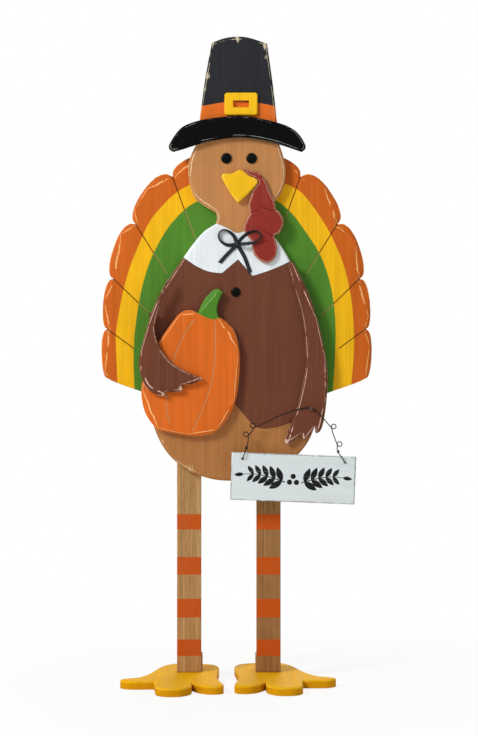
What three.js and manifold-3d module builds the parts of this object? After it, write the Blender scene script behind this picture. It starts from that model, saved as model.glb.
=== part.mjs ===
import * as THREE from 'three';
import { mergeVertices } from 'three/addons/utils/BufferGeometryUtils.js';
import Module from 'manifold-3d';

// A wooden turkey in a tall hat, cut from flat boards, layered and standing on two striped legs.
// Millimetres. X runs to the right and Y to the back, seen from the front, and Z up.
// The origin is on the floor, under the middle of the feet and of the tail fan.
// Left and right in the names are those of someone who looks at the front.

const wasm = await Module();
wasm.setup();

// Boards and fits
const bodyStock = 12;
const fanStock = 12;
const legStock = 12;
const footStock = 12;
const pumpkinStock = 12;
const wingStock = 9;
const brimStock = 9;
const beakStock = 9;
const wattleStock = 6;
const buckleStock = 5;
const signStock = 5;
const glueLine = 0.3;         // between boards that are glued or screwed together
const fitClearance = 0.3;     // round a screw, a nail or a piece that is let in
const overrun = 2;            // how far a cutting tool runs past the face that it enters

// Outer sizes of the boards
const bodyWidth = 244;
const bodyHeight = 629;
const fanWidth = 384.8;
const fanHeight = 367;
const brimWidth = 193.4;
const brimHeight = 50.2;
const pumpkinWidth = 138.8;
const pumpkinHeight = 207.7;
const pumpkinWingWidth = 90;
const pumpkinWingHeight = 166.6;
const signWingWidth = 60.6;
const signWingHeight = 258.2;
const beakWidth = 50.6;
const beakHeight = 43.8;
const wattleWidth = 57.3;
const wattleHeight = 131.4;
const buckleWidth = 46.8;
const buckleHeight = 31.8;
const buckleWindowWidth = 22.5;
const buckleWindowHeight = 10;
const buckleCorner = 4;
const windowCorner = 0.8;
const eyeDiameter = 14;
const buttonDiameter = 13.4;
const domeHeight = 3.2;
const buckleRise = 1.6;       // from the top of the brim up to the buckle
const eyeRise = 17;           // from the top of the beak up to the middle of the eyes
const wattleRise = 0.9;       // from the top of the beak up to the top of the wattle

// Legs, feet and the blocks behind the legs
const legShow = 273;          // from the foot up to the lowest point of the body
const legWidth = 34.4;
const legTopGap = 5;          // from the top of a leg up to the tail fan
const footWidth = 143.5;
const footLength = 200;
const blockWidth = 36;
const blockHeight = 25.5;
const blockDepth = 28;
const blockShift = 2.8;       // towards the middle, so that the block shows beside the leg
const rightFootBack = 6;      // the right foot stands this much further back
const rightFootInward = 2.5;
const rightFootTurn = THREE.MathUtils.degToRad(3.5);

// Edges and engraved lines
const bodyChamfer = 3.6;
const fanChamfer = 6;
const pumpkinChamfer = 3.4;
const wingChamfer = 2;
const brimChamfer = 2.2;
const smallChamfer = 1.4;
const footChamfer = 1.5;
const chamferFall = 2;        // depth of the chamfers of the large boards
const smallFall = 1.2;        // depth of the chamfers of the small ones
const grooveWidth = 2;
const grooveDepth = 1.1;
const fineWidth = 1.4;
const fineDepth = 0.8;

// Screws
const screwHead = 7;
const screwShank = 3.4;
const screwTip = 3;
const recessLength = 4;
const recessWidth = 0.9;
const recessDepth = 1.3;
const boardScrew = 20;
const blockScrew = 36;
const footScrew = 28;
const legScrewDrop = 18;      // from the top of a leg to its upper screw
const legScrewPitch = 40;
const footScrewPitch = 18;

// Sign, its wire and the nail that the wire is wound on
const signWidth = 175;
const signHeight = 67;
const signEdge = 0.8;
const holeDiameter = 3;
const holeInset = 15.5;
const holeDrop = 9.4;
const wireSeat = 0.35;        // the wire runs this far above the middle of a hole
const signTilt = THREE.MathUtils.degToRad(2.24);
const signStandoff = 6.9;     // from the face of the wing to the middle of the sign board
const wireDiameter = 1.1;
const wireGap = 0.7;          // gap between two turns of the wire
const curlRadius = 3.4;
const loopHalfDepth = 6.4;
const loopRise = 12.2;
const knotPitch = 1.9;
const knotTurns = 1.75;
const nailDiameter = 1.8;
const nailHead = 4.8;
const nailHeadHeight = 0.9;
const nailBite = 6;           // how far the nail goes into the body

// Ribbon of the bow
const ribbonWidth = 4.5;
const ribbonThick = 0.8;
const bowUnit = 1.41;         // size of the bow, as the length of one step of its outline
const bowKnotWidth = 5.4;
const bowKnotHeight = 7;
const bowKnotDepth = 5.2;
const bowClimb = 8;           // from the knot to where the right loop lies on the wattle

// Places, as shares of the board that carries the piece
const legSeatShare = 0.5975;          // front of a leg, along the foot
const fanAxisShare = 0.5186;          // axis of the fan, across the body
const fanSeatShare = 0.1555;          // foot of the fan, up the body
const legShares = [0.242, 0.705];
const brimShares = [0.1265, 0.7392];
const buckleAcrossShare = 0.5447;
const eyeAcrossShares = [0.46, 0.606];
const beakShares = [0.431, 0.6285];
const wattleAcrossShare = 0.591;      // of the beak
const bowOnWattleShares = [-0.127, 0.208];   // of the wattle
const buttonShares = [0.514, 0.4244];
const pumpkinShares = [-0.031, 0.1013];
const pumpkinWingShares = [-0.04, 0.1895];
const signWingShares = [0.795, 0.082];
const nailShares = [0.62, 0.198];     // of the wing that carries the sign
const spacerShares = { left: 0.145, right: 0.235, bottom: 0.5, top: 0.71 };   // of the pumpkin wing
const fanScrewShares = [[0.52, 0.64], [0.27, 0.34], [0.77, 0.34], [0.52, 0.22]];

const legFront = (legSeatShare - 0.5) * footLength;
const bodyBack = legFront - glueLine;
const bodyFront = bodyBack - bodyStock;
const faceBack = bodyFront - glueLine;
const wingBack = faceBack - pumpkinStock - glueLine;
const wingFace = faceBack - wingStock;
const bodyBottom = footStock + glueLine + legShow;
const bodyLeft = -fanAxisShare * bodyWidth;
const fanBottom = bodyBottom + fanSeatShare * bodyHeight;
const legTop = fanBottom - legTopGap;

// Outlines, as shares of the width and height of each board. A new row starts at each corner,
// and a smooth curve runs through the points of a row.
const bodyRowShares = [
  [[0.375, 0.986], [0.445, 0.996], [0.52, 1], [0.595, 0.997], [0.696, 0.984]],
  [[0.696, 0.984], [0.723, 0.911], [0.74, 0.857], [0.766, 0.759]],
  [[0.766, 0.759], [0.795, 0.723], [0.805, 0.692], [0.789, 0.66], [0.745, 0.632], [0.645, 0.604]],
  [[0.645, 0.604], [0.637, 0.593], [0.645, 0.578]],
  [[0.645, 0.578], [0.732, 0.551], [0.83, 0.494], [0.936, 0.402], [0.988, 0.307], [1, 0.218],
    [0.969, 0.12], [0.883, 0.062], [0.728, 0.018], [0.482, 0], [0.284, 0.015], [0.125, 0.059],
    [0.032, 0.13], [0, 0.218], [0.014, 0.323], [0.078, 0.418], [0.21, 0.502], [0.317, 0.556],
    [0.399, 0.578]],
  [[0.399, 0.578], [0.406, 0.593], [0.398, 0.604]],
  [[0.398, 0.604], [0.288, 0.632], [0.248, 0.667], [0.238, 0.698], [0.25, 0.728], [0.286, 0.759]],
  [[0.286, 0.759], [0.316, 0.847], [0.337, 0.907], [0.375, 0.986]],
];
const brimRowShares = [
  [[0.032, 0], [0, 0.15], [0.073, 0.598], [0.154, 0.792], [0.288, 0.921], [0.51, 1], [0.699, 0.904],
    [0.86, 0.725], [0.948, 0.494], [1, 0.14], [0.972, 0]],
  [[0.972, 0], [0.746, 0.272], [0.51, 0.402], [0.295, 0.298], [0.106, 0.079], [0.032, 0]],
];
const pumpkinRowShares = [
  [[0.575, 0.837], [0.619, 0.901], [0.67, 0.953], [0.735, 0.992], [0.787, 1]],
  [[0.787, 1], [0.833, 0.975]],
  [[0.833, 0.975], [0.8, 0.936], [0.771, 0.875], [0.78, 0.813]],
  [[0.78, 0.813], [0.864, 0.771], [0.942, 0.711], [0.989, 0.604], [1, 0.489], [0.968, 0.27],
    [0.88, 0.123], [0.761, 0.032], [0.657, 0.008], [0.515, 0], [0.27, 0.027], [0.153, 0.054],
    [0.049, 0.143], [0, 0.27], [0.018, 0.401], [0.084, 0.536], [0.186, 0.65], [0.347, 0.801],
    [0.425, 0.845], [0.502, 0.853], [0.575, 0.837]],
];
const pumpkinWingRowShares = [
  [[0.452, 1], [0.324, 0.777], [0.254, 0.638], [0.245, 0.54], [0.33, 0.407], [0.502, 0.289],
    [0.735, 0.209], [1, 0.155]],
  [[1, 0.155], [0.83, 0.112], [0.642, 0.099]],
  [[0.642, 0.099], [0.69, 0.06]],
  [[0.69, 0.06], [0.595, 0.041], [0.4, 0.047]],
  [[0.4, 0.047], [0.4, 0]],
  [[0.4, 0], [0.252, 0.024], [0.106, 0.079], [0.012, 0.2], [0, 0.335], [0.106, 0.562],
    [0.237, 0.773], [0.452, 1]],
];
const signWingRowShares = [
  [[0.07, 0.993], [0.235, 0.858], [0.426, 0.697], [0.507, 0.503], [0.47, 0.374], [0.293, 0.196],
    [0.107, 0.083], [0, 0.022]],
  [[0, 0.022], [0.047, 0]],
  [[0.047, 0], [0.214, 0.021], [0.412, 0.063]],
  [[0.412, 0.063], [0.442, 0.022]],
  [[0.442, 0.022], [0.567, 0.04], [0.705, 0.1]],
  [[0.705, 0.1], [0.728, 0.06]],
  [[0.728, 0.06], [0.84, 0.075], [0.926, 0.14], [0.995, 0.276], [1, 0.413], [0.881, 0.578],
    [0.633, 0.784], [0.2, 1]],
  [[0.2, 1], [0.07, 0.993]],
];
const beakRowShares = [
  [[0, 0.762], [0.058, 0.887], [0.276, 0.875], [0.54, 1], [0.78, 0.804], [0.958, 0.714],
    [1, 0.553], [0.54, 0.005], [0.407, 0.006], [0.178, 0.402], [0, 0.762]],
];
const wattleRowShares = [
  [[0, 1], [0.273, 0.982], [0.463, 0.936], [0.591, 0.852], [0.675, 0.75], [0.788, 0.66], [0.813, 0.584]],
  [[0.813, 0.584], [0.97, 0.498], [1, 0.412], [0.911, 0.327], [0.776, 0.289]],
  [[0.776, 0.289], [0.847, 0.176], [0.823, 0.071], [0.677, 0], [0.48, 0.006], [0.296, 0.079],
    [0.236, 0.172], [0.246, 0.224]],
  [[0.246, 0.224], [0.081, 0.305], [0.034, 0.375], [0.108, 0.461], [0.192, 0.531]],
  [[0.192, 0.531], [0.148, 0.617], [0.209, 0.713], [0.251, 0.81]],
  [[0.251, 0.81], [0, 1]],
];
// The left foot seen from above. The share along X runs outwards from the inner toe.
const footRowShares = [
  [[0.307, 0.225], [0.31, 0.1], [0.387, 0.02], [0.488, 0], [0.578, 0.015], [0.641, 0.065],
    [0.655, 0.16], [0.676, 0.28]],
  [[0.676, 0.28], [0.78, 0.275], [0.906, 0.275], [0.985, 0.31], [1, 0.35], [0.93, 0.39],
    [0.836, 0.43], [0.746, 0.565], [0.662, 0.81], [0.585, 0.94], [0.488, 0.995], [0.348, 1],
    [0.223, 0.985], [0.105, 0.94], [0.056, 0.845], [0.06, 0.625], [0.065, 0.41], [0.02, 0.24],
    [0, 0.16], [0.01, 0.115], [0.07, 0.09], [0.153, 0.095], [0.23, 0.135], [0.307, 0.225]],
];
const footLegShare = 0.348;           // middle of the leg across the foot
const footShoulderShares = [0.105, 0.585];

// The fan: where its scallops meet on one side, how far each bulges, and where its groove ends
const fanNotchShares = [
  { notch: [0, 0.965], bulge: 0.25 },
  { notch: [0.473, 0.91], bulge: 0.24, grooveEnd: [0.305, 0.667] },
  { notch: [0.746, 0.726], bulge: 0.2, grooveEnd: [0.517, 0.535] },
  { notch: [0.91, 0.514], bulge: 0.147, grooveEnd: [0.628, 0.372] },
  { notch: [0.955, 0.319], bulge: 0.122, grooveEnd: [0.76, 0.245] },
];
const fanCornerShares = [0.955, 0.128];
const fanFootShares = [[0.955, 0.128], [0.887, 0.111], [0.71, 0.078], [0.37, 0.02], [0, 0]];
const scallopPowerShare = 2.3;
const scallopLeanShare = 0.12;

// Engraved lines
const pumpkinGrooveShares = [
  [[0.528, 0.788], [0.437, 0.694], [0.373, 0.598], [0.328, 0.516], [0.257, 0.252], [0.263, 0.149],
    [0.289, 0.088]],
  [[0.745, 0.78], [0.748, 0.633], [0.735, 0.46], [0.684, 0.304], [0.605, 0.165], [0.521, 0.041]],
];
const collarGrooveShares = [
  [[0.212, 0.501], [0.286, 0.482], [0.358, 0.47], [0.434, 0.466]],
  [[0.434, 0.466], [0.528, 0.497]],
  [[0.528, 0.497], [0.612, 0.46]],
  [[0.612, 0.46], [0.721, 0.474], [0.821, 0.491]],
];
const wattleGrooveShares = [
  [[0.515, 0.594], [0.687, 0.564], [0.825, 0.571]],
  [[0.192, 0.531], [0.28, 0.555], [0.37, 0.56]],
  [[0.567, 0.338], [0.68, 0.305], [0.776, 0.289]],
  [[0.246, 0.224], [0.42, 0.215], [0.616, 0.232]],
];

// Route of the wire, as shares of the distance between the two holes of the sign, from the left
// hole. The third number goes from 0 at the face of the wing to 1 at the middle of the sign.
const nailRouteShares = [0.67, 0.4912];
const leftRiseShares = [[0.0508, 0.162, 1], [0.0557, 0.1963, 1]];
const leftCurl = { centre: [0.0332, 0.2393], from: 1, to: 0.7, start: -20, sweep: 335 };
const betweenShares = [[0.0889, 0.2617, 0.7]];
const upperCurl = { centre: [0.0986, 0.3242], from: 0.7, to: 0.4, start: -35, sweep: 329 };
const archShares = [[0.1523, 0.3174, 0.4], [0.2461, 0.3633, 0.33], [0.3633, 0.4219, 0.2],
  [0.498, 0.4727, 0.08], [0.582, 0.4883, 0]];
const fallShares = [[0.7334, 0.4551, 0.2], [0.8018, 0.3818, 0.25], [0.84, 0.335, 0.33]];
const rightCurl = { centre: [0.8906, 0.3145], from: 0.38, to: 0.68, start: 217, sweep: 331 };
const dropShares = [[0.8769, 0.265, 0.7], [0.8955, 0.211, 0.7]];
const lowerCurl = { centre: [0.9473, 0.1436], from: 0.7, to: 1, start: 197, sweep: 345 };
const nailWrap = { start: 100, sweep: -400 };
const rightRiseShares = [[0.9248, 0.105, 1]];
const leftLean = THREE.MathUtils.degToRad(19.7);
const rightLean = THREE.MathUtils.degToRad(-31.9);
// One side of the loop through a hole: shares of its half depth and of its rise
const loopShares = [[0.55, 0], [0.8, 0.09], [0.94, 0.26], [1, 0.5], [0.98, 0.69]];
const loopCoreShares = [[0.8, 0.82], [0.42, 0.95], [0.12, 1.03]];
const loopKnotShares = [[0.79, 0.87], [0.5, 1.01]];

// The bow, in steps from the middle of its knot: X to the right, Z up
const bowLoopSteps = [
  [[-1, 1.5], [-3.2, 7.3], [-7.5, 11.7], [-13, 14], [-17.5, 12.3], [-19, 7.5], [-16.5, 2.6],
    [-10, -1.2], [-1, -0.8]],
  [[1, 1.5], [3.8, 4.7], [9.2, 9.3], [14.9, 11.8], [19.5, 12], [23, 9.3], [23, 6.3], [19.9, 3.2],
    [14.9, 0.5], [1, -0.8]],
];
const bowTailSteps = [
  [[-0.5, -1], [-5, -5.5], [-11.5, -12], [-17.5, -18.9]],
  [[0.5, -1], [4, -7.5], [7.7, -14.4], [13.1, -29]],
];

const curveSteps = 3;
const tipEaseShare = 0.8;
const roundSegments = 16;
const wireSides = 6;
const curlSteps = 12;
const knotSteps = 16;
const fullTurn = 360;

function paint(colour, roughness, metalness = 0) {
  return new THREE.MeshStandardMaterial({ color: colour, roughness, metalness });
}

const orangePaint = paint(0xd56522, 0.6);
const brownPaint = paint(0x70412f, 0.6);
const blackPaint = paint(0x202024, 0.55);
const yellowPaint = paint(0xebb22a, 0.55);
const redPaint = paint(0x8e342e, 0.55);
const whitePaint = paint(0xdde3e4, 0.6);
const bareWood = paint(0xa87c4e, 0.75);
const zincSteel = paint(0xb9bcbf, 0.35, 0.9);
const blackWire = paint(0x1b1b1d, 0.45, 0.6);
const blackRibbon = paint(0x1b2024, 0.7);

// Turns a closed three.js geometry into a solid that can be joined and cut.
function solidOf(geometry) {
  const bare = geometry.clone();
  bare.deleteAttribute('normal');
  bare.deleteAttribute('uv');
  const merged = mergeVertices(bare);
  return new wasm.Manifold(new wasm.Mesh({
    numProp: 3,
    vertProperties: Float32Array.from(merged.getAttribute('position').array),
    triVerts: Uint32Array.from(merged.index.array),
  }));
}

function geometryOf(solid) {
  const mesh = solid.getMesh();
  const geometry = new THREE.BufferGeometry();
  geometry.setAttribute('position', new THREE.BufferAttribute(Float32Array.from(mesh.vertProperties), 3));
  geometry.setIndex(new THREE.BufferAttribute(Uint32Array.from(mesh.triVerts), 1));
  geometry.computeVertexNormals();
  return geometry;
}

function addPiece(group, name, solid, material, x = 0, y = 0, z = 0) {
  const mesh = new THREE.Mesh(geometryOf(solid), material);
  mesh.name = name;
  mesh.position.set(x, y, z);
  group.add(mesh);
  return mesh;
}

function onBody([across, up]) {
  return { x: bodyLeft + across * bodyWidth, z: bodyBottom + up * bodyHeight };
}

function scaled(shares, width, height) {
  return shares.map(([across, up]) => new THREE.Vector2(across * width, up * height));
}

// A smooth curve through the points, as a list of points.
function smooth(points, steps = curveSteps) {
  return points.length < 3 ? points : new THREE.SplineCurve(points).getPoints((points.length - 1) * steps);
}

// Rows of shares become one closed outline with a corner where two rows meet.
function outlineOf(rows, width, height, steps = curveSteps) {
  return rows.flatMap((row) => smooth(scaled(row, width, height), steps).slice(0, -1));
}

// A block between two corners, for cuts and for plain pieces.
function block(x0, x1, y0, y1, z0, z1) {
  const box = new THREE.BoxGeometry(x1 - x0, y1 - y0, z1 - z0);
  box.translate((x0 + x1) / 2, (y0 + y1) / 2, (z0 + z1) / 2);
  return solidOf(box);
}

function crossing(a, b, c, d) {
  const side = (p, q, r) => (q.x - p.x) * (r.y - p.y) - (q.y - p.y) * (r.x - p.x);
  return side(a, b, c) * side(a, b, d) < 0 && side(c, d, a) * side(c, d, b) < 0;
}

// Moves each point of an outline inwards. Where a tip is too narrow, its points move less.
function insetOf(outline, distance) {
  const count = outline.length;
  const next = (index) => (index + 1) % count;
  const way = THREE.ShapeUtils.isClockWise(outline) ? -1 : 1;
  const inward = outline.map((point, index) => {
    const [before, after] = [
      point.clone().sub(outline[(index + count - 1) % count]), outline[next(index)].clone().sub(point),
    ].map((edge) => new THREE.Vector2(-edge.y, edge.x).normalize());
    const middle = before.add(after);
    return middle.multiplyScalar(2 * way * distance / middle.lengthSq());
  });
  const reach = outline.map(() => 1);
  for (;;) {
    const moved = outline.map((point, index) => point.clone().addScaledVector(inward[index], reach[index]));
    const faults = moved.map((point, index) => index).filter((index) => {
      const edge = moved[next(index)].clone().sub(moved[index]);
      const turnedOver = edge.dot(outline[next(index)].clone().sub(outline[index])) <= 0;
      return turnedOver || moved.some((point, other) => other !== index && other !== next(index)
        && next(other) !== index && crossing(moved[index], moved[next(index)], point, moved[next(other)]));
    });
    if (faults.length === 0) {
      return moved;
    }
    faults.forEach((index) => {
      reach[index] *= tipEaseShare;
      reach[next(index)] *= tipEaseShare;
    });
  }
}

// A board with a chamfer round its front face. Its back face is at y = 0, its front at y = -stock.
function boardOf(outline, stock, chamfer, fall) {
  const geometry = new THREE.ExtrudeGeometry(new THREE.Shape(outline), {
    depth: stock, bevelEnabled: false, steps: 2,
  });
  const inset = insetOf(outline, chamfer);
  const position = geometry.getAttribute('position');
  const place = new THREE.Vector2();
  for (let index = 0; index < position.count; index += 1) {
    place.fromBufferAttribute(position, index);
    const level = Math.round(2 * position.getZ(index) / stock);
    if (level === 1) {
      position.setZ(index, stock - fall);
    } else if (level === 2) {
      const nearest = outline.reduce(
        (best, point, other) => (point.distanceToSquared(place) < outline[best].distanceToSquared(place)
          ? other : best), 0);
      position.setXY(index, inset[nearest].x, inset[nearest].y);
    }
  }
  geometry.rotateX(Math.PI / 2);
  return solidOf(geometry);
}

// A straight-sided plate of any outline, from y = 0 to y = -stock.
function plateOf(outline, stock) {
  const geometry = new THREE.ExtrudeGeometry(new THREE.Shape(outline), {
    depth: stock, bevelEnabled: false, steps: 1,
  });
  geometry.rotateX(Math.PI / 2);
  return solidOf(geometry);
}

// A V-shaped cut along a line on a front face at y = face.
function grooveOf(points, face, width, depth) {
  const section = new THREE.Shape([
    new THREE.Vector2(depth, 0), new THREE.Vector2(0, width / 2),
    new THREE.Vector2(-depth, 0), new THREE.Vector2(0, -width / 2),
  ]);
  const path = new THREE.CatmullRomCurve3(points.map((point) => new THREE.Vector3(point.x, point.y, 0)));
  const geometry = new THREE.ExtrudeGeometry(section, {
    steps: points.length > 2 ? (points.length - 1) * curveSteps : 1, extrudePath: path, bevelEnabled: false,
  });
  geometry.rotateX(Math.PI / 2);
  geometry.translate(0, face, 0);
  return solidOf(geometry);
}

function engrave(solid, rows, width, height, face, lineWidth, lineDepth) {
  return rows.reduce(
    (cut, row) => cut.subtract(grooveOf(scaled(row, width, height), face, lineWidth, lineDepth)), solid);
}

// A strip of even width along a line.
function strokeOf(points, width) {
  const line = smooth(points);
  const sides = line.map((point, index) => {
    const before = line[Math.max(index - 1, 0)];
    const after = line[Math.min(index + 1, line.length - 1)];
    const along = after.clone().sub(before).normalize();
    return new THREE.Vector2(-along.y, along.x).multiplyScalar(width / 2);
  });
  const left = line.map((point, index) => point.clone().add(sides[index]));
  const right = line.map((point, index) => point.clone().sub(sides[index]));
  return [...left, ...right.reverse()];
}

function roundedBox(width, height, corner) {
  const shape = new THREE.Path();
  const x = width / 2 - corner;
  const y = height / 2 - corner;
  shape.absarc(x, y, corner, 0, Math.PI / 2);
  shape.absarc(-x, y, corner, Math.PI / 2, Math.PI);
  shape.absarc(-x, -y, corner, Math.PI, -Math.PI / 2);
  shape.absarc(x, -y, corner, -Math.PI / 2, 0);
  return shape;
}

// A round piece turned about the Y axis. The profile starts and ends on the axis.
function turned(profile, segments = roundSegments) {
  return solidOf(new THREE.LatheGeometry(profile.map(([radius, y]) => new THREE.Vector2(radius, y)), segments));
}

// Countersunk wood screws point to -Y with the head at y = 0.
function screwProfile(length, grow) {
  const head = screwHead / 2 + grow;
  const shank = screwShank / 2 + grow;
  return [[0, -length - grow], [shank, -length + screwTip - grow], [shank, shank - head], [head, 0], [0, 0]];
}

function screwOf(length) {
  const recess = block(-recessLength / 2, recessLength / 2, -recessDepth, overrun, -recessWidth / 2, recessWidth / 2);
  return turned(screwProfile(length, 0)).subtract(recess).subtract(recess.rotate([0, 90, 0]));
}

function screwHole(length) {
  const head = screwHead / 2 + fitClearance;
  const mouth = turned([[0, 0], [head, 0], [head, overrun], [0, overrun]]);
  return turned(screwProfile(length, fitClearance)).add(mouth);
}

// The points of one scallop between two notches: a flattened round, fuller on its upper side.
function scallop(from, to, bulge) {
  const chord = to.clone().sub(from);
  const out = new THREE.Vector2(-chord.y, chord.x);
  const steps = curveSteps * 3;
  return Array.from({ length: steps }, (_, index) => {
    const turn = Math.PI * index / steps;
    const reach = Math.sign(Math.cos(turn)) * Math.abs(Math.cos(turn)) ** (2 / scallopPowerShare);
    const along = (1 - reach) / 2;
    const lift = bulge * Math.sin(turn) ** (2 / scallopPowerShare) * (1 + scallopLeanShare * reach);
    return from.clone().addScaledVector(chord, along).addScaledVector(out, lift);
  });
}

function fanOutline() {
  const half = fanWidth / 2;
  const notches = [...fanNotchShares.map((row) => row.notch), fanCornerShares];
  const places = notches.map(([across, up]) => new THREE.Vector2(across * half, up * fanHeight));
  const rim = fanNotchShares.flatMap(({ bulge }, index) => scallop(places[index], places[index + 1], bulge));
  const foot = smooth(scaled(fanFootShares, half, fanHeight));
  const rightSide = [...rim, ...foot];
  const leftSide = rightSide.slice(1, -1).reverse().map((point) => new THREE.Vector2(-point.x, point.y));
  return [...rightSide, ...leftSide];
}

function legCentres() {
  return legShares.map((share) => bodyLeft + share * bodyWidth);
}

function blockCentre(side) {
  return legCentres()[side] + (side === 0 ? blockShift : -blockShift);
}

// Where each screw sits: name, length, place of its head and the way that it points.
function screwPlaces() {
  const fan = fanScrewShares.map((shares, index) => {
    const { x, z } = onBody(shares);
    return { name: `fan_screw_${index + 1}`, length: boardScrew, x, y: legFront + fanStock - glueLine, z };
  });
  const sides = ['left', 'right'].flatMap((side, index) => {
    const legX = legCentres()[index];
    const blockX = blockCentre(index);
    const blockBack = legFront + legStock + glueLine + blockDepth;
    const legRows = [0, 1].map((row) => ({
      name: `leg_screw_${side}_${row + 1}`, length: boardScrew,
      x: legX, y: legFront + legStock - glueLine, z: legTop - legScrewDrop - row * legScrewPitch,
    }));
    const behind = {
      name: `block_screw_${side}`, length: blockScrew,
      x: blockX, y: blockBack - glueLine, z: footStock + glueLine + blockHeight / 2,
    };
    const below = [-1, 1].map((way, row) => ({
      name: `foot_screw_${side}_${row + 1}`, length: footScrew, up: true,
      x: blockX + way * footScrewPitch / 2, y: blockBack - blockDepth / 2, z: glueLine,
    }));
    return [...legRows, behind, ...below];
  });
  return [...fan, ...sides];
}

function placedAt(solid, { x, y, z, up }) {
  return (up ? solid.rotate([-90, 0, 0]) : solid).translate([x, y, z]);
}

// Cuts the holes of the named screws in a board whose own origin lies at (x, y, z).
function drill(solid, prefixes, x, y, z) {
  return screwPlaces()
    .filter(({ name }) => prefixes.some((prefix) => name.startsWith(prefix)))
    .reduce((cut, place) => cut.subtract(
      placedAt(screwHole(place.length), place).translate([-x, -y, -z])), solid);
}

function nailPlace() {
  const { x, z } = onBody(signWingShares);
  return { x: x + nailShares[0] * signWingWidth, z: z + nailShares[1] * signWingHeight };
}

function nailHole(x, y, z) {
  const nail = nailPlace();
  const radius = nailDiameter / 2 + fitClearance;
  const front = wingFace - overrun;
  const end = bodyFront + nailBite + fitClearance;
  return turned([[0, front], [radius, front], [radius, end], [0, end]])
    .translate([nail.x - x, -y, nail.z - z]);
}

function addBody(group) {
  const outline = outlineOf(bodyRowShares, bodyWidth, bodyHeight);
  let board = boardOf(outline, bodyStock, bodyChamfer, chamferFall);
  board = engrave(board, collarGrooveShares, bodyWidth, bodyHeight, -bodyStock, fineWidth, fineDepth);
  board = drill(board, ['fan_screw', 'leg_screw'], bodyLeft, bodyBack, bodyBottom);
  board = board.subtract(nailHole(bodyLeft, bodyBack, bodyBottom));
  addPiece(group, 'body_board', board, brownPaint, bodyLeft, bodyBack, bodyBottom);
}

function addFan(group) {
  let board = boardOf(fanOutline(), fanStock, fanChamfer, chamferFall);
  const rows = fanNotchShares.filter((row) => row.grooveEnd).flatMap(({ notch, grooveEnd }) => (
    [-1, 1].map((way) => [notch, grooveEnd].map(([across, up]) => [way * across, up]))));
  board = engrave(board, rows, fanWidth / 2, fanHeight, -fanStock, grooveWidth, grooveDepth);
  const back = legFront + fanStock;
  board = drill(board, ['fan_screw'], 0, back, fanBottom);
  addPiece(group, 'tail_fan', board, orangePaint, 0, back, fanBottom);
}

function addHat(group) {
  const brim = onBody(brimShares);
  const brimBoard = boardOf(outlineOf(brimRowShares, brimWidth, brimHeight), brimStock, brimChamfer, smallFall);
  addPiece(group, 'hat_brim', brimBoard, blackPaint, brim.x, faceBack, brim.z);

  const { x: buckleX } = onBody([buckleAcrossShare, 0]);
  const outer = roundedBox(buckleWidth, buckleHeight, buckleCorner).getPoints(curveSteps);
  const window = roundedBox(buckleWindowWidth, buckleWindowHeight, windowCorner);
  const frame = boardOf(outer, buckleStock, smallChamfer, smallFall)
    .subtract(plateOf(window.getPoints(1), buckleStock + overrun).translate([0, overrun / 2, 0]));
  addPiece(group, 'hat_buckle', frame, yellowPaint, buckleX, faceBack,
    brim.z + brimHeight + buckleRise + buckleHeight / 2);
}

// A low domed button with a flat back at y = 0.
function domeOf(diameter) {
  const steps = curveSteps * 2;
  const wall = domeHeight / 3;
  const dome = Array.from({ length: steps + 1 }, (_, index) => {
    const turn = Math.PI / 2 * index / steps;
    return [diameter / 2 * Math.cos(turn), -wall - (domeHeight - wall) * Math.sin(turn)];
  });
  dome[steps][0] = 0;
  return turned([[0, 0], [diameter / 2, 0], ...dome].reverse());
}

function wattlePlace() {
  const beak = onBody(beakShares);
  return {
    x: beak.x + wattleAcrossShare * beakWidth,
    z: beak.z + beakHeight + wattleRise - wattleHeight,
  };
}

function addFace(group) {
  const beak = onBody(beakShares);
  ['left', 'right'].forEach((side, index) => {
    const { x } = onBody([eyeAcrossShares[index], 0]);
    addPiece(group, `eye_${side}`, domeOf(eyeDiameter), blackPaint, x, faceBack, beak.z + beakHeight + eyeRise);
  });

  const beakOutline = outlineOf(beakRowShares, beakWidth, beakHeight);
  addPiece(group, 'beak', boardOf(beakOutline, beakStock, smallChamfer, smallFall), yellowPaint,
    beak.x, faceBack, beak.z);

  // The wattle is let in round the beak, with an even gap all along.
  const wattle = wattlePlace();
  const pocket = new THREE.ExtrudeGeometry(new THREE.Shape(beakOutline), {
    depth: wattleStock + overrun, bevelEnabled: true, bevelThickness: overrun, bevelSize: fitClearance,
    bevelSegments: 1, steps: 1,
  });
  pocket.rotateX(Math.PI / 2);
  pocket.translate(beak.x - wattle.x, 0, beak.z - wattle.z);
  let board = boardOf(outlineOf(wattleRowShares, wattleWidth, wattleHeight), wattleStock, smallChamfer, smallFall);
  board = engrave(board, wattleGrooveShares, wattleWidth, wattleHeight, -wattleStock, fineWidth, fineDepth);
  board = board.subtract(solidOf(pocket));
  addPiece(group, 'wattle', board, redPaint, wattle.x, faceBack, wattle.z);
}

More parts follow.
